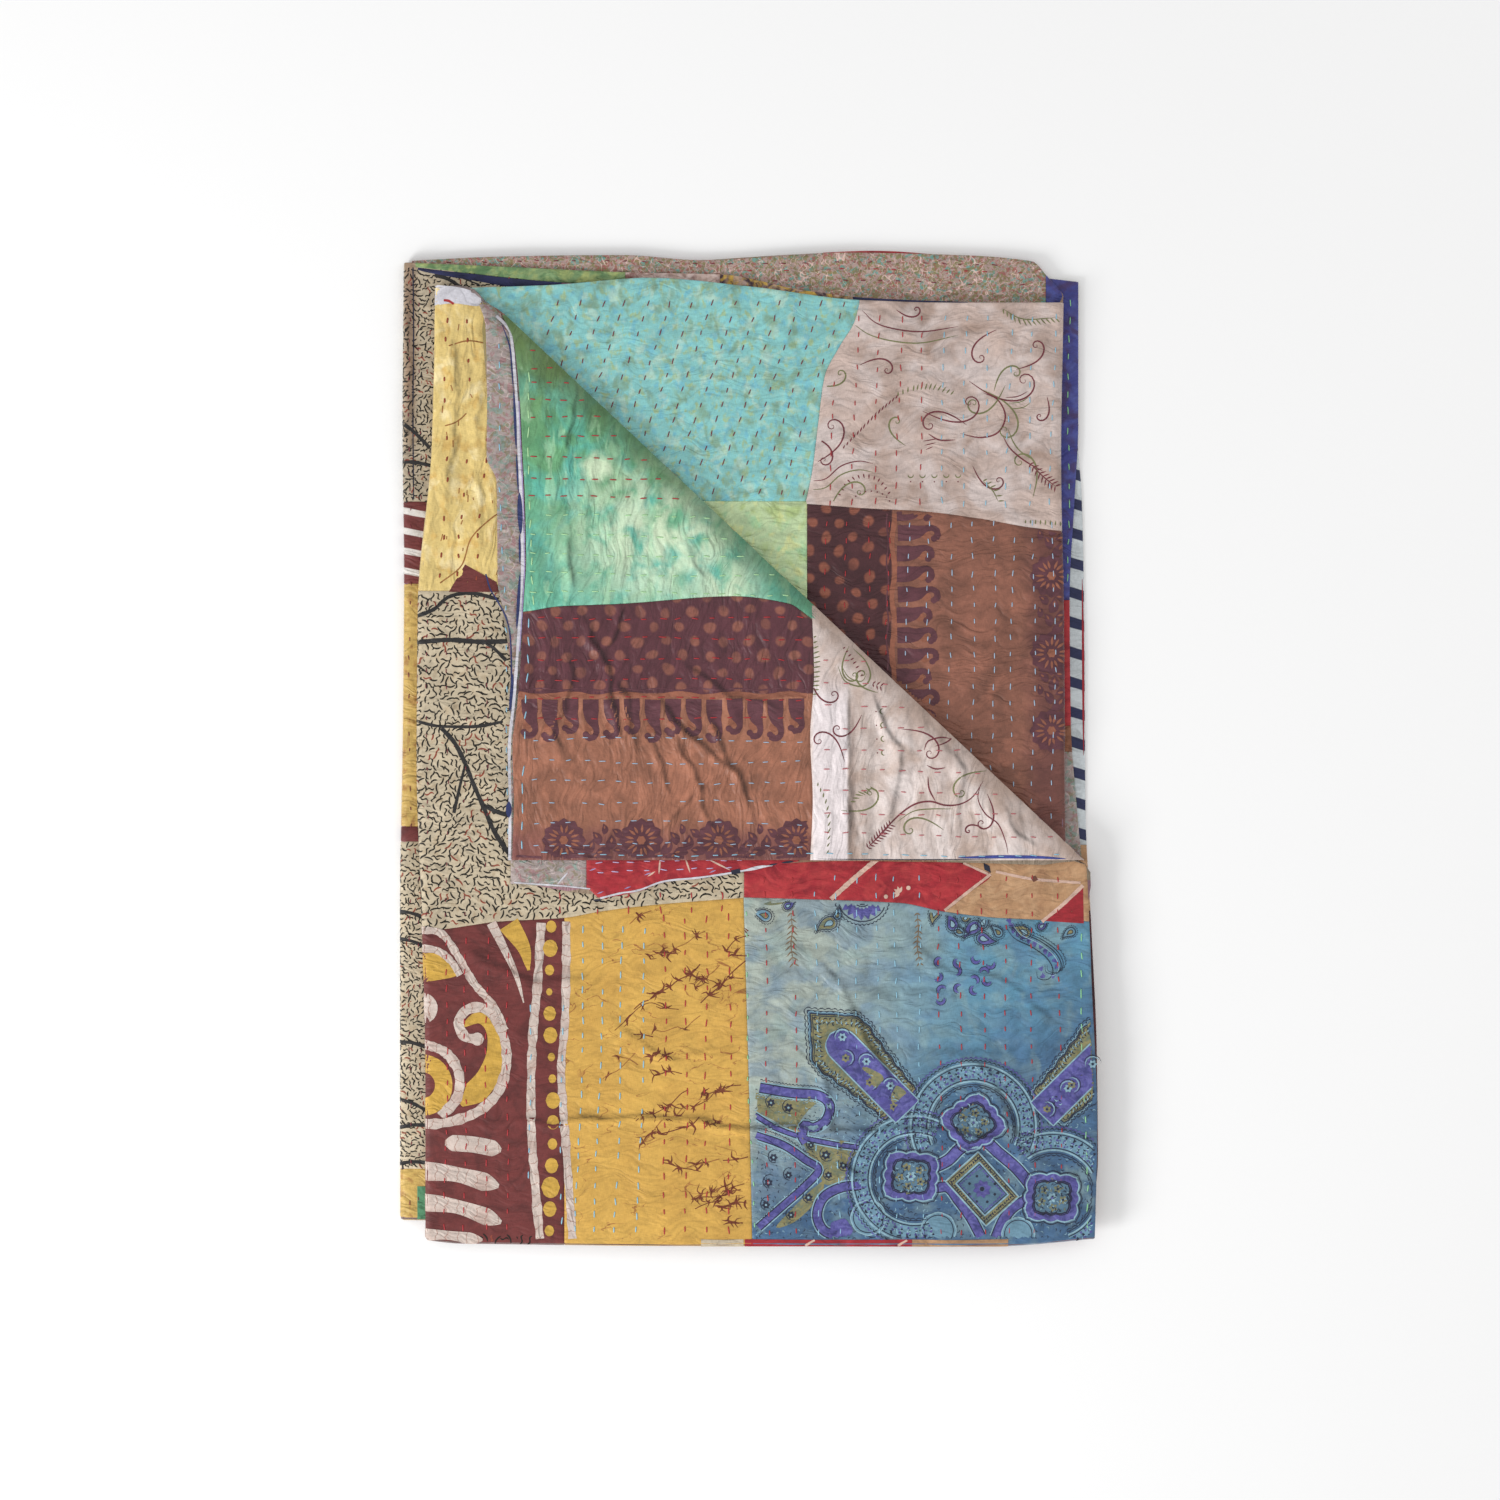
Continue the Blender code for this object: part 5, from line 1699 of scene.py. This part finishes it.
def printVines():
    red, green, z = "vine", "leafgreen", "upper"

    def clip(x, y):
        if z == "flap":
            return (outOf(x, y) < -1) & (x > 52) & (y > -86)
        left = along(((198, 48), (222, 53), (262, 58), (298, 63), (322, 75), (342, 87), (357, 91)), y)
        floor = along(((44, 198), (97, 194), (137, 192), (185, 186), (225, 179), (262, 175)), x)
        return (x > left) & (y > floor) & (y < 355) & (x < 252)

    # stems: (thread, width, points); curls: (thread, x, y, reach, turn, hand);
    # feathers: (thread, points, tick, pitch, lean, sides, stem)
    def stems(*rows):
        for colour, width, *points in rows:
            draw(colour, z, points, width, "ends", clip=clip)

    def curls(*rows):
        for colour, x, y, reach, turn, hand in rows:
            curl(colour, z, x, y, reach, turn, hand, clip)

    def feathers(*rows):
        for colour, points, tick, pitch, lean, sides, stem in rows:
            feather(colour, z, points, tick, pitch, lean, sides, stem, clip)

    stems(
        (red, 1.1, (91, 351), (102, 341), (118, 336), (140, 334), (168, 338)),
        (green, 1.0, (84, 340), (98, 331), (118, 326), (140, 325), (168, 331)))
    curls(
        (red, 132, 350, 11, 10, 1), (red, 108, 306, 15, -20, -1), (red, 186, 318, 15, 250, 1),
        (green, 72, 297, 12, 40, 1), (red, 68, 252, 20, 75, 1), (green, 118, 258, 13, 100, -1),
        (red, 172, 272, 26, 20, 1), (green, 186, 276, 17, 200, -1), (red, 214, 290, 30, 10, 1),
        (red, 150, 262, 20, 190, 1), (green, 206, 262, 22, -70, -1), (red, 236, 268, 11, 240, -1),
        (green, 222, 226, 20, 120, 1), (red, 60, 236, 14, -60, -1), (green, 210, 300, 12, 30, -1),
        (red, 230, 318, 13, 60, 1), (green, 84, 206, 16, 20, -1), (red, 196, 214, 14, -20, 1))
    stems(
        (red, 1.3, (188, 285), (200, 279), (206, 266), (200, 253), (186, 249), (170, 252)),
        (red, 1.2, (204, 250), (210, 240), (222, 230), (236, 222)),
        (green, 1.0, (208, 256), (212, 246), (218, 238), (228, 231)),
        (red, 1.2, (144, 252), (153, 247), (166, 247)),
        (red, 1.0, (50, 214), (62, 216), (74, 226), (88, 230), (100, 228)),
        (green, 1.0, (50, 207), (62, 209), (74, 219), (88, 223), (100, 221)))
    feathers(
        (red, [(76, 240), (92, 256), (104, 268), (118, 280)], 4.5, 3.4, 25, (1,), False),
        (green, [(120, 282), (132, 286), (148, 287), (162, 283)], 5.5, 3.2, 70, (1,), False),
        (red, arc(93, 198, 22, 165, 20), 3.6, 4.2, -80, (1,), False),
        (red, [(226, 228), (236, 218), (246, 210)], 5.5, 3.0, 60, (1, -1), True),
        (green, [(204, 352), (220, 344), (246, 345)], 6.0, 3.4, 50, (-1,), True),
        (green, [(188, 214), (196, 206), (200, 198)], 5.5, 3.2, 70, (1,), True),
        (green, [(222, 180), (250, 178)], 4.0, 3.6, 90, (1,), False))
    for k in range(3):
        y = 281 - 4.5 * k
        stems(
            (green if k else red, 0.8, (206 + 2 * k, y), (216 + 2 * k, y + 1), (224 + k, y + 5)),
            (red, 0.8, (140 + k, 246 - 3.4 * k), (152 - 2 * k, 248 - 3.2 * k)))
    vees(green, z, 130, 219, 5, 9.5, 0, clip)
    for k in range(9):
        a = math.radians(20 + 17 * k)
        dot(red, z, 98 + 16 * math.cos(a), 194 + 12 * math.sin(a), 0.6)
    z = "flap"
    curls(
        (red, 64, 44, 13, -30, 1), (red, 76, 16, 13, 200, -1), (red, 62, 6, 14, 150, 1),
        (green, 82, 62, 16, -70, 1), (red, 144, 2, 17, -50, -1), (green, 96, -40, 17, 40, 1),
        (red, 190, -56, 16, 250, -1), (green, 134, -62, 18, 190, 1), (red, 178, -64, 8, 200, 1),
        (green, 172, -30, 15, 230, 1), (red, 160, 12, 9, 60, 1), (green, 92, 56, 10, 120, -1))
    stems(
        (red, 1.4, (97, -78), (108, -66), (122, -52), (134, -44), (146, -42), (158, -45), (170, -44),
            (180, -38), (188, -26)),
        (green, 0.9, (120, -58), (132, -50), (146, -48), (164, -48)),
        (red, 1.3, (144, -22), (145, -32), (150, -42)), (red, 1.2, (141, -1), (144, 6), (154, 9), (162, 8)),
        (red, 1.0, (186, -28), (184, -40), (190, -52), (200, -60), (206, -74), (208, -84)),
        (red, 1.2, (143, -13), (150, -16), (158, -15)))
    feathers(
        (red, [(96, -79), (106, -69), (114, -61)], 5.0, 2.8, 60, (1, -1), True),
        (green, [(55, 90), (58, 74), (58, 58), (57, 44)], 6.5, 3.4, 80, (-1,), False),
        (green, [(56, -30), (62, -44), (64, -62), (63, -84)], 4.5, 5.0, 150, (1,), False),
        (green, [(82, -42), (88, -34), (98, -30)], 6.5, 3.0, -60, (1,), False),
        (red, [(76, 80), (84, 68), (90, 58)], 3.2, 3.6, 90, (1,), False),
        (red, [(100, 52), (106, 50)], 4.0, 3.0, 60, (1, -1), False))
    stems(
        (green, 1.2, (72, 66), (78, 54), (92, 50), (98, 58), (94, 70), (84, 80)),
        (green, 0.8, (75, 66), (81, 57), (91, 54), (95, 60)))
    vees(green, z, 108, 30, 4, 11.0, -88, clip)


def printStrips():
    # (colour, zone, width, profile, height over the cloth, points)
    def lines(*rows):
        for colour, zone, width, shape, over, *points in rows:
            draw(colour, zone, points, width, shape, 1, over)

    # the red and tan pieces
    lines(
        ("cream", "front", 4.2, "rough", 1, (66, -121), (92, -98), (122, -74)),
        ("cream", "front", 2.4, "rough", 1, (157, -130), (176, -115), (194, -101)),
        ("cream", "front", 3.0, "rough", 1, (235, -139), (251, -126), (268, -110)),
        ("cream", "front", 2.0, "rough", 1, (192, -101), (183, -97), (172, -92)),
        ("cream", "front", 2.4, "rough", 1, (198, -99), (228, -105), (266, -108)))
    for k in range(5):
        a = math.radians(70 + 38 * k)
        tip = polar(121, -116, 5.5, a)
        draw("cream", "front", [(121, -116), tip], 2.4, "leaf", over=1)
    dot("cream", "front", 128, -112, 1.8, 1)
    dot("cream", "front", 110, -119, 1.7, 1)
    draw("brown", "front", [(226, -104), (232, -105.5)], 5.5, "diamond", 2, 2)
    draw("ink", "front", [(188, -92), (191, -96), (194, -100)], 5.0, "diamond", 2, 2)
    redCorner = [(237, -138.5), (268.5, -140.5), (268, -110), (237, -138.5)]
    fan("red", "front", (259, -131), straight(redCorner), 0)
    # the next level's patches show under the bottom fold
    for colour, x0, x1 in (("sand", -38, -4), ("red", -3, 131), ("tan", 131, 208)):
        draw(colour, "front", [(x0, -396.0), ((x0 + x1) / 2, -396.4), (x1, -396.0)], 5.2, "even", 2, 3)
    for x in (44, 118):
        draw("cream", "front", [(x, -399), (x + 9, -394)], 1.6, "even", 1, 5)
    # the lower layer of the turned-back corner
    lines(
        ("cream", "facing", 1.4, "ends", 1, (-70, -88), (-71, -100)),
        ("cream", "facing", 1.4, "ends", 1, (-50, -87), (-46, -99)),
        ("cream", "facing", 1.4, "ends", 1, (-32, -88), (-14, -97)),
        ("cream", "facing", 1.4, "ends", 1, (-74, -98), (-80, -102)),
        ("paper", "facing", 1.6, "rough", 2, (-118, -119.5), (-102, -115.5), (-87, -113), (-67, -106),
            (-39, -103), (-12, -99), (20, -93)),
        ("paper", "facing", 1.2, "rough", 2, (-187, -107), (-150, -109.5), (-126, -112)),
        ("ink", "facing", 4.2, "rough", 3, (-13, -99), (-6, -97.5)),
        ("ink", "facing", 1.4, "ends", 3, (-124, -121), (-116, -120.5)),
        ("paper", "facing", 2.6, "ends", 3, (-3, -97.5), (8, -95), (16, -93.5)),
        ("ink", "facing", 1.4, "ends", 4, (17, -93), (24, -92)),
        ("ink", "facing", 1.6, "ends", 4, (27, -91.2), (37, -90)),
        ("paper", "facing", 1.4, "ends", 1, (-152, -108), (-144, -99)))
    for x, y in ((-124, -96.5), (-118, -115), (-96, -111), (-80, -100), (-28, -98)):
        draw("lilac", "facing", [(x - 2.6, y - 1), (x + 2.6, y + 1)], 1.1, "ends", 1, 1)
    # the strip's bottom shows in a notch of the yellow cloth
    notch = [(-240, 125), (-199, 125), (-202, 133), (-227, 147), (-240, 125)]
    fan("maroon", "front", (-225, 133), notch, 1)
    # hems of the turned-back corner and the strip beside it
    flapHem = ((-89, -190.5), (-42, -190), (2, -190.5), (38, -187), (78, -184), (118, -181.5), (150, -180),
        (198, -181.2), (238, -183), (278, -184.6), (326, -188.5), (338, -193), (346, -201))
    edge = [(x, y) for y, x in flapHem[::-1]]
    draw("paper", "flap", edge, 2.5, "rough", 1, -10)
    for upper, lower, shift, width in (
            (340, 286, -2.2, 1.3), (286, 240, -2.0, 2.2), (236, 205, -2.0, 1.6), (205, 172, -1.2, 4.2),
            (172, 148, -2.2, 1.8), (140, 96, -1.8, 2.6), (60, 30, -2.4, 2.6), (-42, -55, -1.0, 4.6)):
        span = (upper, upper * 0.66 + lower * 0.34, upper * 0.33 + lower * 0.67, lower)
        draw("navy", "flap", [(float(along(flapHem, y)) + shift, y) for y in span], width, "ends", 1, -9)
    draw("lilac", "flap", [(x + 1.7, y) for x, y in edge[3:9]], 0.9, "rough", 1, -9)
    rimLine = hemRight("rim", -0.9)
    draw("red", "rim", [(float(rimLine(y)), y) for y in (136, 90, 40, -6)], 1.8, "ends", 1, 1)
    lines(
        ("navy", "facing", 1.3, "rough", 2, (-209.5, 140), (-206, 128), (-200, 118), (-193, 104),
            (-189.5, 84), (-189, 40), (-189, 24)),
        ("blue", "flap", 2.6, "ends", 2, (168, -87), (200, -86.2), (232, -86.6), (254, -88)),
        ("ink", "flap", 0.8, "ends", 1, (56, -88), (100, -88.5), (150, -88.5), (200, -88)))
    # the long strip's top end, and what shows at its sides
    turnedEnd = [(-254, 354), (-236, 356), (-216, 354), (-215, 362), (-226, 367.5), (-241, 370),
        (-254, 369), (-254, 354)]
    fan("paper", "front", (-234, 360), smooth(turnedEnd, 3), 1)
    greenBit = [(-266, -352), (-259, -352), (-259, -378), (-266, -378), (-266, -352)]
    fan("greenbit", "left", (-263, -368), greenBit, 1)
    lines(
        # a dark line down the left strip's crease: painted shade, with the dirt the crease holds
        ("ink", "left", 1.1, "rough", 0, (-269.5, 386), (-269, 330), (-269.5, 270), (-269, 200)),
        ("stitchred", "front", 2.0, "rough", 2, (-244, 358.5), (-240, 358), (-236, 355.5)),
        ("hem", "front", 1.2, "rough", 1, (-211.7, 350), (-207.2, 338), (-183.7, 322), (-182.7, 300),
            (-180.7, 250), (-180.4, 230)))
    for _ in range(26):
        x, y = rng.uniform(-246, -186), rng.uniform(132, 345)
        draw("fine", "front", [(x, y), (x + rng.normal(0, 1), y - rng.uniform(2, 6))], 0.9, "rough")
    lines(
        ("fine", "front", 1.1, "rough", 1, (-247, 132), (-230, 146), (-222, 168), (-206, 184), (-196, 190)),
        ("fine", "front", 1.1, "rough", 1, (-243, 258), (-236, 260), (-230, 264), (-226, 268)),
        ("fine", "front", 1.1, "rough", 1, (-240, 322), (-225, 326), (-210, 324)))


def buildPrints():
    for name, (points, faces, uv, fold, _) in prints.items():
        makePiece(f"print_{name}", np.concatenate(points), np.concatenate(faces), inks[name],
            np.concatenate(uv), np.concatenate(fold))


threads = {}
stitch = {
    "row": 17.6, "lean": 0.09, "vary": (0.75, 1.15), "sink": 0.35,
    # along, across and up, in half lengths, half widths and lift
    "points": np.array([(-1, 0, 0.36), (-0.62, -1, 0.5), (-0.62, 0, 0.86), (-0.62, 1, 0.5), (0.62, -1, 0.5),
                        (0.62, 0, 0.86), (0.62, 1, 0.5), (1, 0, 0.36)]),
    "faces": np.array([(0, 1, 2), (0, 2, 3), (0, 3, 1), (1, 4, 5), (1, 5, 2), (2, 5, 6), (2, 6, 3),
                       (3, 6, 4), (3, 4, 1), (7, 5, 4), (7, 6, 5), (7, 4, 6)]),
}


def hidden(zone, x, y):
    covered = (outOf(x, y) < 3) & (x > along(seams["facingLeft"], y) + 1)
    covered = covered & (y > along(seams["facingLow"], x) + 1)
    return covered if zone == "front" else (outOf(x, y) < 0.5) if zone == "upper" else (x < -1e9)


def sew(colour, zone, start, end, pitch=12.5, size=(6.2, 1.05), wander=0.7, skip=0.04, inside=None):
    start, end = np.array(start, float), np.array(end, float)
    total = np.hypot(*(end - start))
    count = max(1, int(total / pitch))
    run = (end - start) / total
    t = (np.arange(count) + 0.5) / count * total + rng.normal(0, pitch * 0.06, count)
    drift = wander * 1.6 * np.sin(t / 37.0 + rng.uniform(0, 6)) + rng.normal(0, wander * 0.3, count)
    x = start[0] + run[0] * t - run[1] * drift
    y = start[1] + run[1] * t + run[0] * drift
    good = (rng.random(count) > skip) & ~hidden(zone, x, y)
    if inside is not None:
        good &= inside(x, y)
    x, y = x[good], y[good]
    angle = math.atan2(run[1], run[0]) + rng.normal(0, stitch["lean"], len(x))
    half = size[0] / 2 * rng.uniform(*stitch["vary"], len(x))
    if len(x):
        threads.setdefault(colour, []).append((zone, x, y, angle, half, np.full(len(x), size[1] / 2)))


def buildStitches():
    ahead, aside, up = stitch["points"].T
    for colour, groups in threads.items():
        points, faces, base = [], [], 0
        for zone, x, y, angle, half, wide in groups:
            u, v = ahead * half[:, None], aside * wide[:, None]
            px = x[:, None] + u * np.cos(angle)[:, None] - v * np.sin(angle)[:, None]
            py = y[:, None] + u * np.sin(angle)[:, None] + v * np.cos(angle)[:, None]
            lift = np.repeat(up[None] + patchShape["outer"] - stitch["sink"], len(x), axis=0)
            points.append(np.stack(place(zone, px, py, lift), -1).reshape(-1, 3))
            faces.append((np.arange(len(x))[:, None, None] * len(up) + stitch["faces"]).reshape(-1, 3)
                + base)
            base += len(x) * len(up)
        material = plainMaterial(f"thread_{colour}", ink(threadColours[colour]), 0.5)
        makePiece(f"stitches_{colour}", np.concatenate(points), np.concatenate(faces), material)


def insideFlap(x, y):
    return outOf(x, y) < -5


def sewAll():
    # the front's lower half: (thread, first y, last y, shifts at each end, the rows' x, stitches)
    for colour, y0, y1, a, b, columns, stitches in (
            ("red", -148, -390, 0, -2, (-241, -226, -209, -192), {}),
            ("darkRed", 122, -140, 0, -1, (-257, -241, -226, -209),
                {"pitch": 13, "size": (4.0, 0.8), "skip": 0.35}),
            ("brownRed", 350, 130, 2, -6, (-241, -225, -210),
                {"pitch": 15, "size": (4.6, 1.5), "wander": 1.6, "skip": 0.15}),
            ("lightBlue", -140, -392, 4, -3, (-135, -120, -104, -86), {"pitch": 12}),
            ("lightBlue", -180, -388, 3, 2, (-178, -152), {"pitch": 18}),
            ("red", -130, -392, 2, 2, (-69, -52, -36, -17), {"pitch": 13.5}),
            ("red", -98, -394, 0, 3, (13, 36, 152, 168, 187, 205, 226, 248),
                {"pitch": 13, "size": (5.2, 1.0)}),
            ("lightBlue", -98, -394, 0, 3, (53, 70, 86, 103, 117, 136), {"pitch": 13, "size": (6.0, 0.9)}),
            ("paleGreen", -145, -390, 0, 5, (266,), {"pitch": 14, "size": (8.0, 1.0)}),
            ("paleGreen", -124, -390, 0, 7, (-3,), {"pitch": 16, "size": (4.5, 0.9)}),
            ("red", -112, -136, 0, 0, (-150, -120, -95, -70, -45, -20), {"pitch": 11})):
        for x in columns:
            sew(colour, "front", (x + a, y0), (x + b, y1), **stitches)
    # the panel above
    for k in range(24):
        x = -200 + stitch["row"] * k
        sew("darkRed", "upper", (x + 50, 362), (x - 5, 200), 12, (5.6, 0.9),
            inside=lambda x, y: x < along(((198, 44), (262, 54), (322, 71), (357, 87)), y))
    for k in range(11):
        x = 66 + stitch["row"] * k
        sew("red" if k < 5 else "lightBlue", "upper", (x + 4, 352), (x, 190), 13, (5.6, 0.9),
            inside=lambda x, y: x > along(((198, 48), (262, 58), (322, 75), (357, 91)), y))
    for k, x in enumerate((62, 78, 95, 111, 127, 144, 161, 179, 196, 211, 228, 244)):
        sew("red" if k < 4 else "paleBlue", "upper", (x + 1, 186), (x, -100), 13, (5.4, 0.85), 1.0)
    # the turned-back corner: (thread, first x, last x, drop, the rows' y, stitches, cut by the fold)
    for colour, x0, x1, drop, rows, stitches, cut in (
            ("red", -178, 50, 3, (318, 305, 292, 280, 266, 251, 233, 217, 202), (12.5, (5.8, 0.95)), True),
            ("mint", -178, 50, 3, (187, 171, 156, 141, 126), (12.5, (5.8, 0.95)), True),
            ("red", -172, 48, 1, (105, 89, 72, 56, 41, 25), (13, (6.2, 0.95)), False),
            ("paleBlue", -176, 48, 1, (8, -10, -26, -42, -58, -76), (13, (5.8, 0.8), 1.0), False),
            ("rose", 56, 250, 2, (70, 52, 34, 17, 0, -17, -34, -51, -68), (14, (5.6, 0.9)), True)):
        for y in rows:
            sew(colour, "flap", (x0, y), (x1, y - drop), *stitches, inside=insideFlap if cut else None)
    # its edges, and then the lower panels' edges
    edge = {"size": (4.0, 0.8), "skip": 0.3}
    hem = {"pitch": 14, "size": (4.5, 0.8), "skip": 0.3}
    for colour, zone, start, end, stitches in (
            ("mint", "flap", (-176, 320), (-172, 112), {"pitch": 14, "size": (9, 1.1)}),
            ("lightBlue", "flap", (-176, 108), (-180, -84), {"pitch": 14, "size": (9, 1.1)}),
            ("lightBlue", "flap", (-170, -84), (255, -85),
                {"pitch": 15, "size": (6, 0.9), "inside": insideFlap}),
            ("lightBlue", "facing", (-200, 330), (-190, -90), {"pitch": 16, "size": (6, 1.0)}),
            ("lilac", "facing", (-125, -90), (0, -90), {"pitch": 12, "size": (6, 1.0)}),
            ("lilac", "facing", (-125, -98), (-10, -96), {"pitch": 12, "size": (6, 1.0)}),
            ("darkRed", "left", (-272, 380), (-272, -370), {"pitch": 15, **edge}),
            ("darkRed", "left", (-264, 380), (-264, -370), {"pitch": 17, **edge}),
            ("darkRed", "band", (-262, 391.5), (205, 389), hem),
            ("red", "band", (-20, 385), (225, 383), hem), ("darkRed", "band", (0, 376), (228, 373), hem),
            ("paleGreen", "right", (259, 366), (256, 130), {"pitch": 14, "size": (7, 1.0)})):
        sew(colour, zone, start, end, **stitches)


for job in (printSpeckles, printBatik, printBranches, printPaisley, printStrips, printVines, printBorders,
        sewAll):
    job()
print("ornament and stitches laid out")


def plainInk(name, colour, variety=0.25, rough=0.6):
    return fabric(name, lambda u, v, at: blend(noise(at, 3.0, 2.0) * variety * 2, colour,
        tuple(c * 0.72 for c in colour)), rough)


def crazedInk(name, colour, dark):
    def paint(u, v, at):
        lines = within(unsigned(repeat(u + noise(vector(u * 0.4, v), 5.0) * 9, 8.5)), 0.32, 0.25)
        smear = step(noise(at, 16.0, 3.0), 0.56, 0.12) * 0.35
        return blend(lines * 0.75, blend(smear, colour, dark), dark)
    return fabric(name, paint)


inkColours = {
    "gold": (214, 170, 72), "crackle": (122, 58, 34), "fine": (168, 110, 56), "branch": (44, 42, 42),
    "sky": (150, 188, 204), "outline": (40, 46, 68), "moss": (92, 126, 150), "brown": (120, 74, 60),
    "red": (168, 40, 50), "vine": (122, 52, 62), "leafgreen": (126, 128, 84), "rust": (158, 98, 76),
    "black": (26, 21, 12), "redbrown": (150, 70, 50), "paper": (222, 220, 228), "navy": (48, 58, 108),
    "blue": (66, 78, 156), "ink": (40, 42, 62), "lilac": (176, 160, 206), "hem": (240, 226, 190),
    "stitchred": (176, 52, 54), "greenbit": (90, 150, 110), "haze": (116, 156, 178), "twig": (134, 112, 88),
    "sand": (206, 190, 164), "tan": (182, 142, 106),
}
inks = {name: plainInk(f"ink_{name}", colour) for name, colour in inkColours.items()}
inks["violet"] = fabric("ink_violet", mottle((84, 80, 150), (60, 64, 118), (108, 106, 172), pitch=9.0))
inks["olive"] = fabric("ink_olive", mottle((124, 124, 90), (98, 114, 104), (148, 138, 94), pitch=8.0))
inks["pale"] = crazedInk("ink_pale", dyes["pale"], (150, 100, 84))
inks["cream"] = plainInk("ink_cream", dyes["cream"])
inks["maroon"] = plainInk("ink_maroon", dyes["maroon"], 0.15)
inks["plum"] = fabric("ink_plum", mottle((100, 58, 66), (84, 46, 54), pitch=26.0), 0.5)
threadColours = {
    "red": (178, 50, 56), "darkRed": (126, 48, 60), "lightBlue": (150, 200, 222),
    "paleGreen": (150, 214, 160), "mint": (180, 224, 170), "rose": (196, 110, 116),
    "lilac": (200, 180, 215), "brownRed": (150, 66, 40), "paleBlue": (172, 198, 222),
}


def plainMaterial(name, colour, rough):
    material = bpy.data.materials.new(name)
    material.use_nodes = True
    shader = material.node_tree.nodes["Principled BSDF"]
    shader.inputs["Base Color"].default_value = colour
    shader.inputs["Roughness"].default_value = rough
    return material


buildPrints()
buildStitches()
print("ornament and stitches made")


studio = {  # metres, and lights as place, size and power
    "floor": 14, "floorZ": -0.0004, "world": 0.66,
    "key": ((-1.9, -1.3, 1.1), 0.9, 44), "fill": ((1.8, 0.9, 2.2), 2.0, 9),
    "lens": 90, "eye": (0.0012, -0.0016, 3.02),
}


def makeStage():
    bpy.ops.mesh.primitive_plane_add(size=studio["floor"], location=(0, 0, studio["floorZ"]))
    floor = bpy.context.object
    floor.name = "floor"
    floor.data.materials.append(plainMaterial("floor_white", (1, 1, 1, 1), 0.9))
    world = bpy.data.worlds.new("studio")
    bpy.context.scene.world = world
    world.use_nodes = True
    sky = world.node_tree.nodes["Background"].inputs
    sky["Color"].default_value = (1, 1, 1, 1)
    sky["Strength"].default_value = studio["world"]
    for name in ("key", "fill"):
        at, wide, power = studio[name]
        light = bpy.data.lights.new(name, "AREA")
        light.size = wide
        light.energy = power
        lamp = bpy.data.objects.new(name, light)
        lamp.location = at
        lamp.rotation_euler = (-Vector(at)).to_track_quat("-Z", "Y").to_euler()
        bpy.context.scene.collection.objects.link(lamp)


def makeCamera():
    camera = bpy.data.cameras.new("above")
    camera.sensor_width = 36
    camera.lens = studio["lens"]
    eye = bpy.data.objects.new("above", camera)
    eye.location = studio["eye"]
    bpy.context.scene.collection.objects.link(eye)
    bpy.context.scene.camera = eye


makeStage()
makeCamera()
bpy.context.scene.view_settings.view_transform = "Standard"
print("stage made")
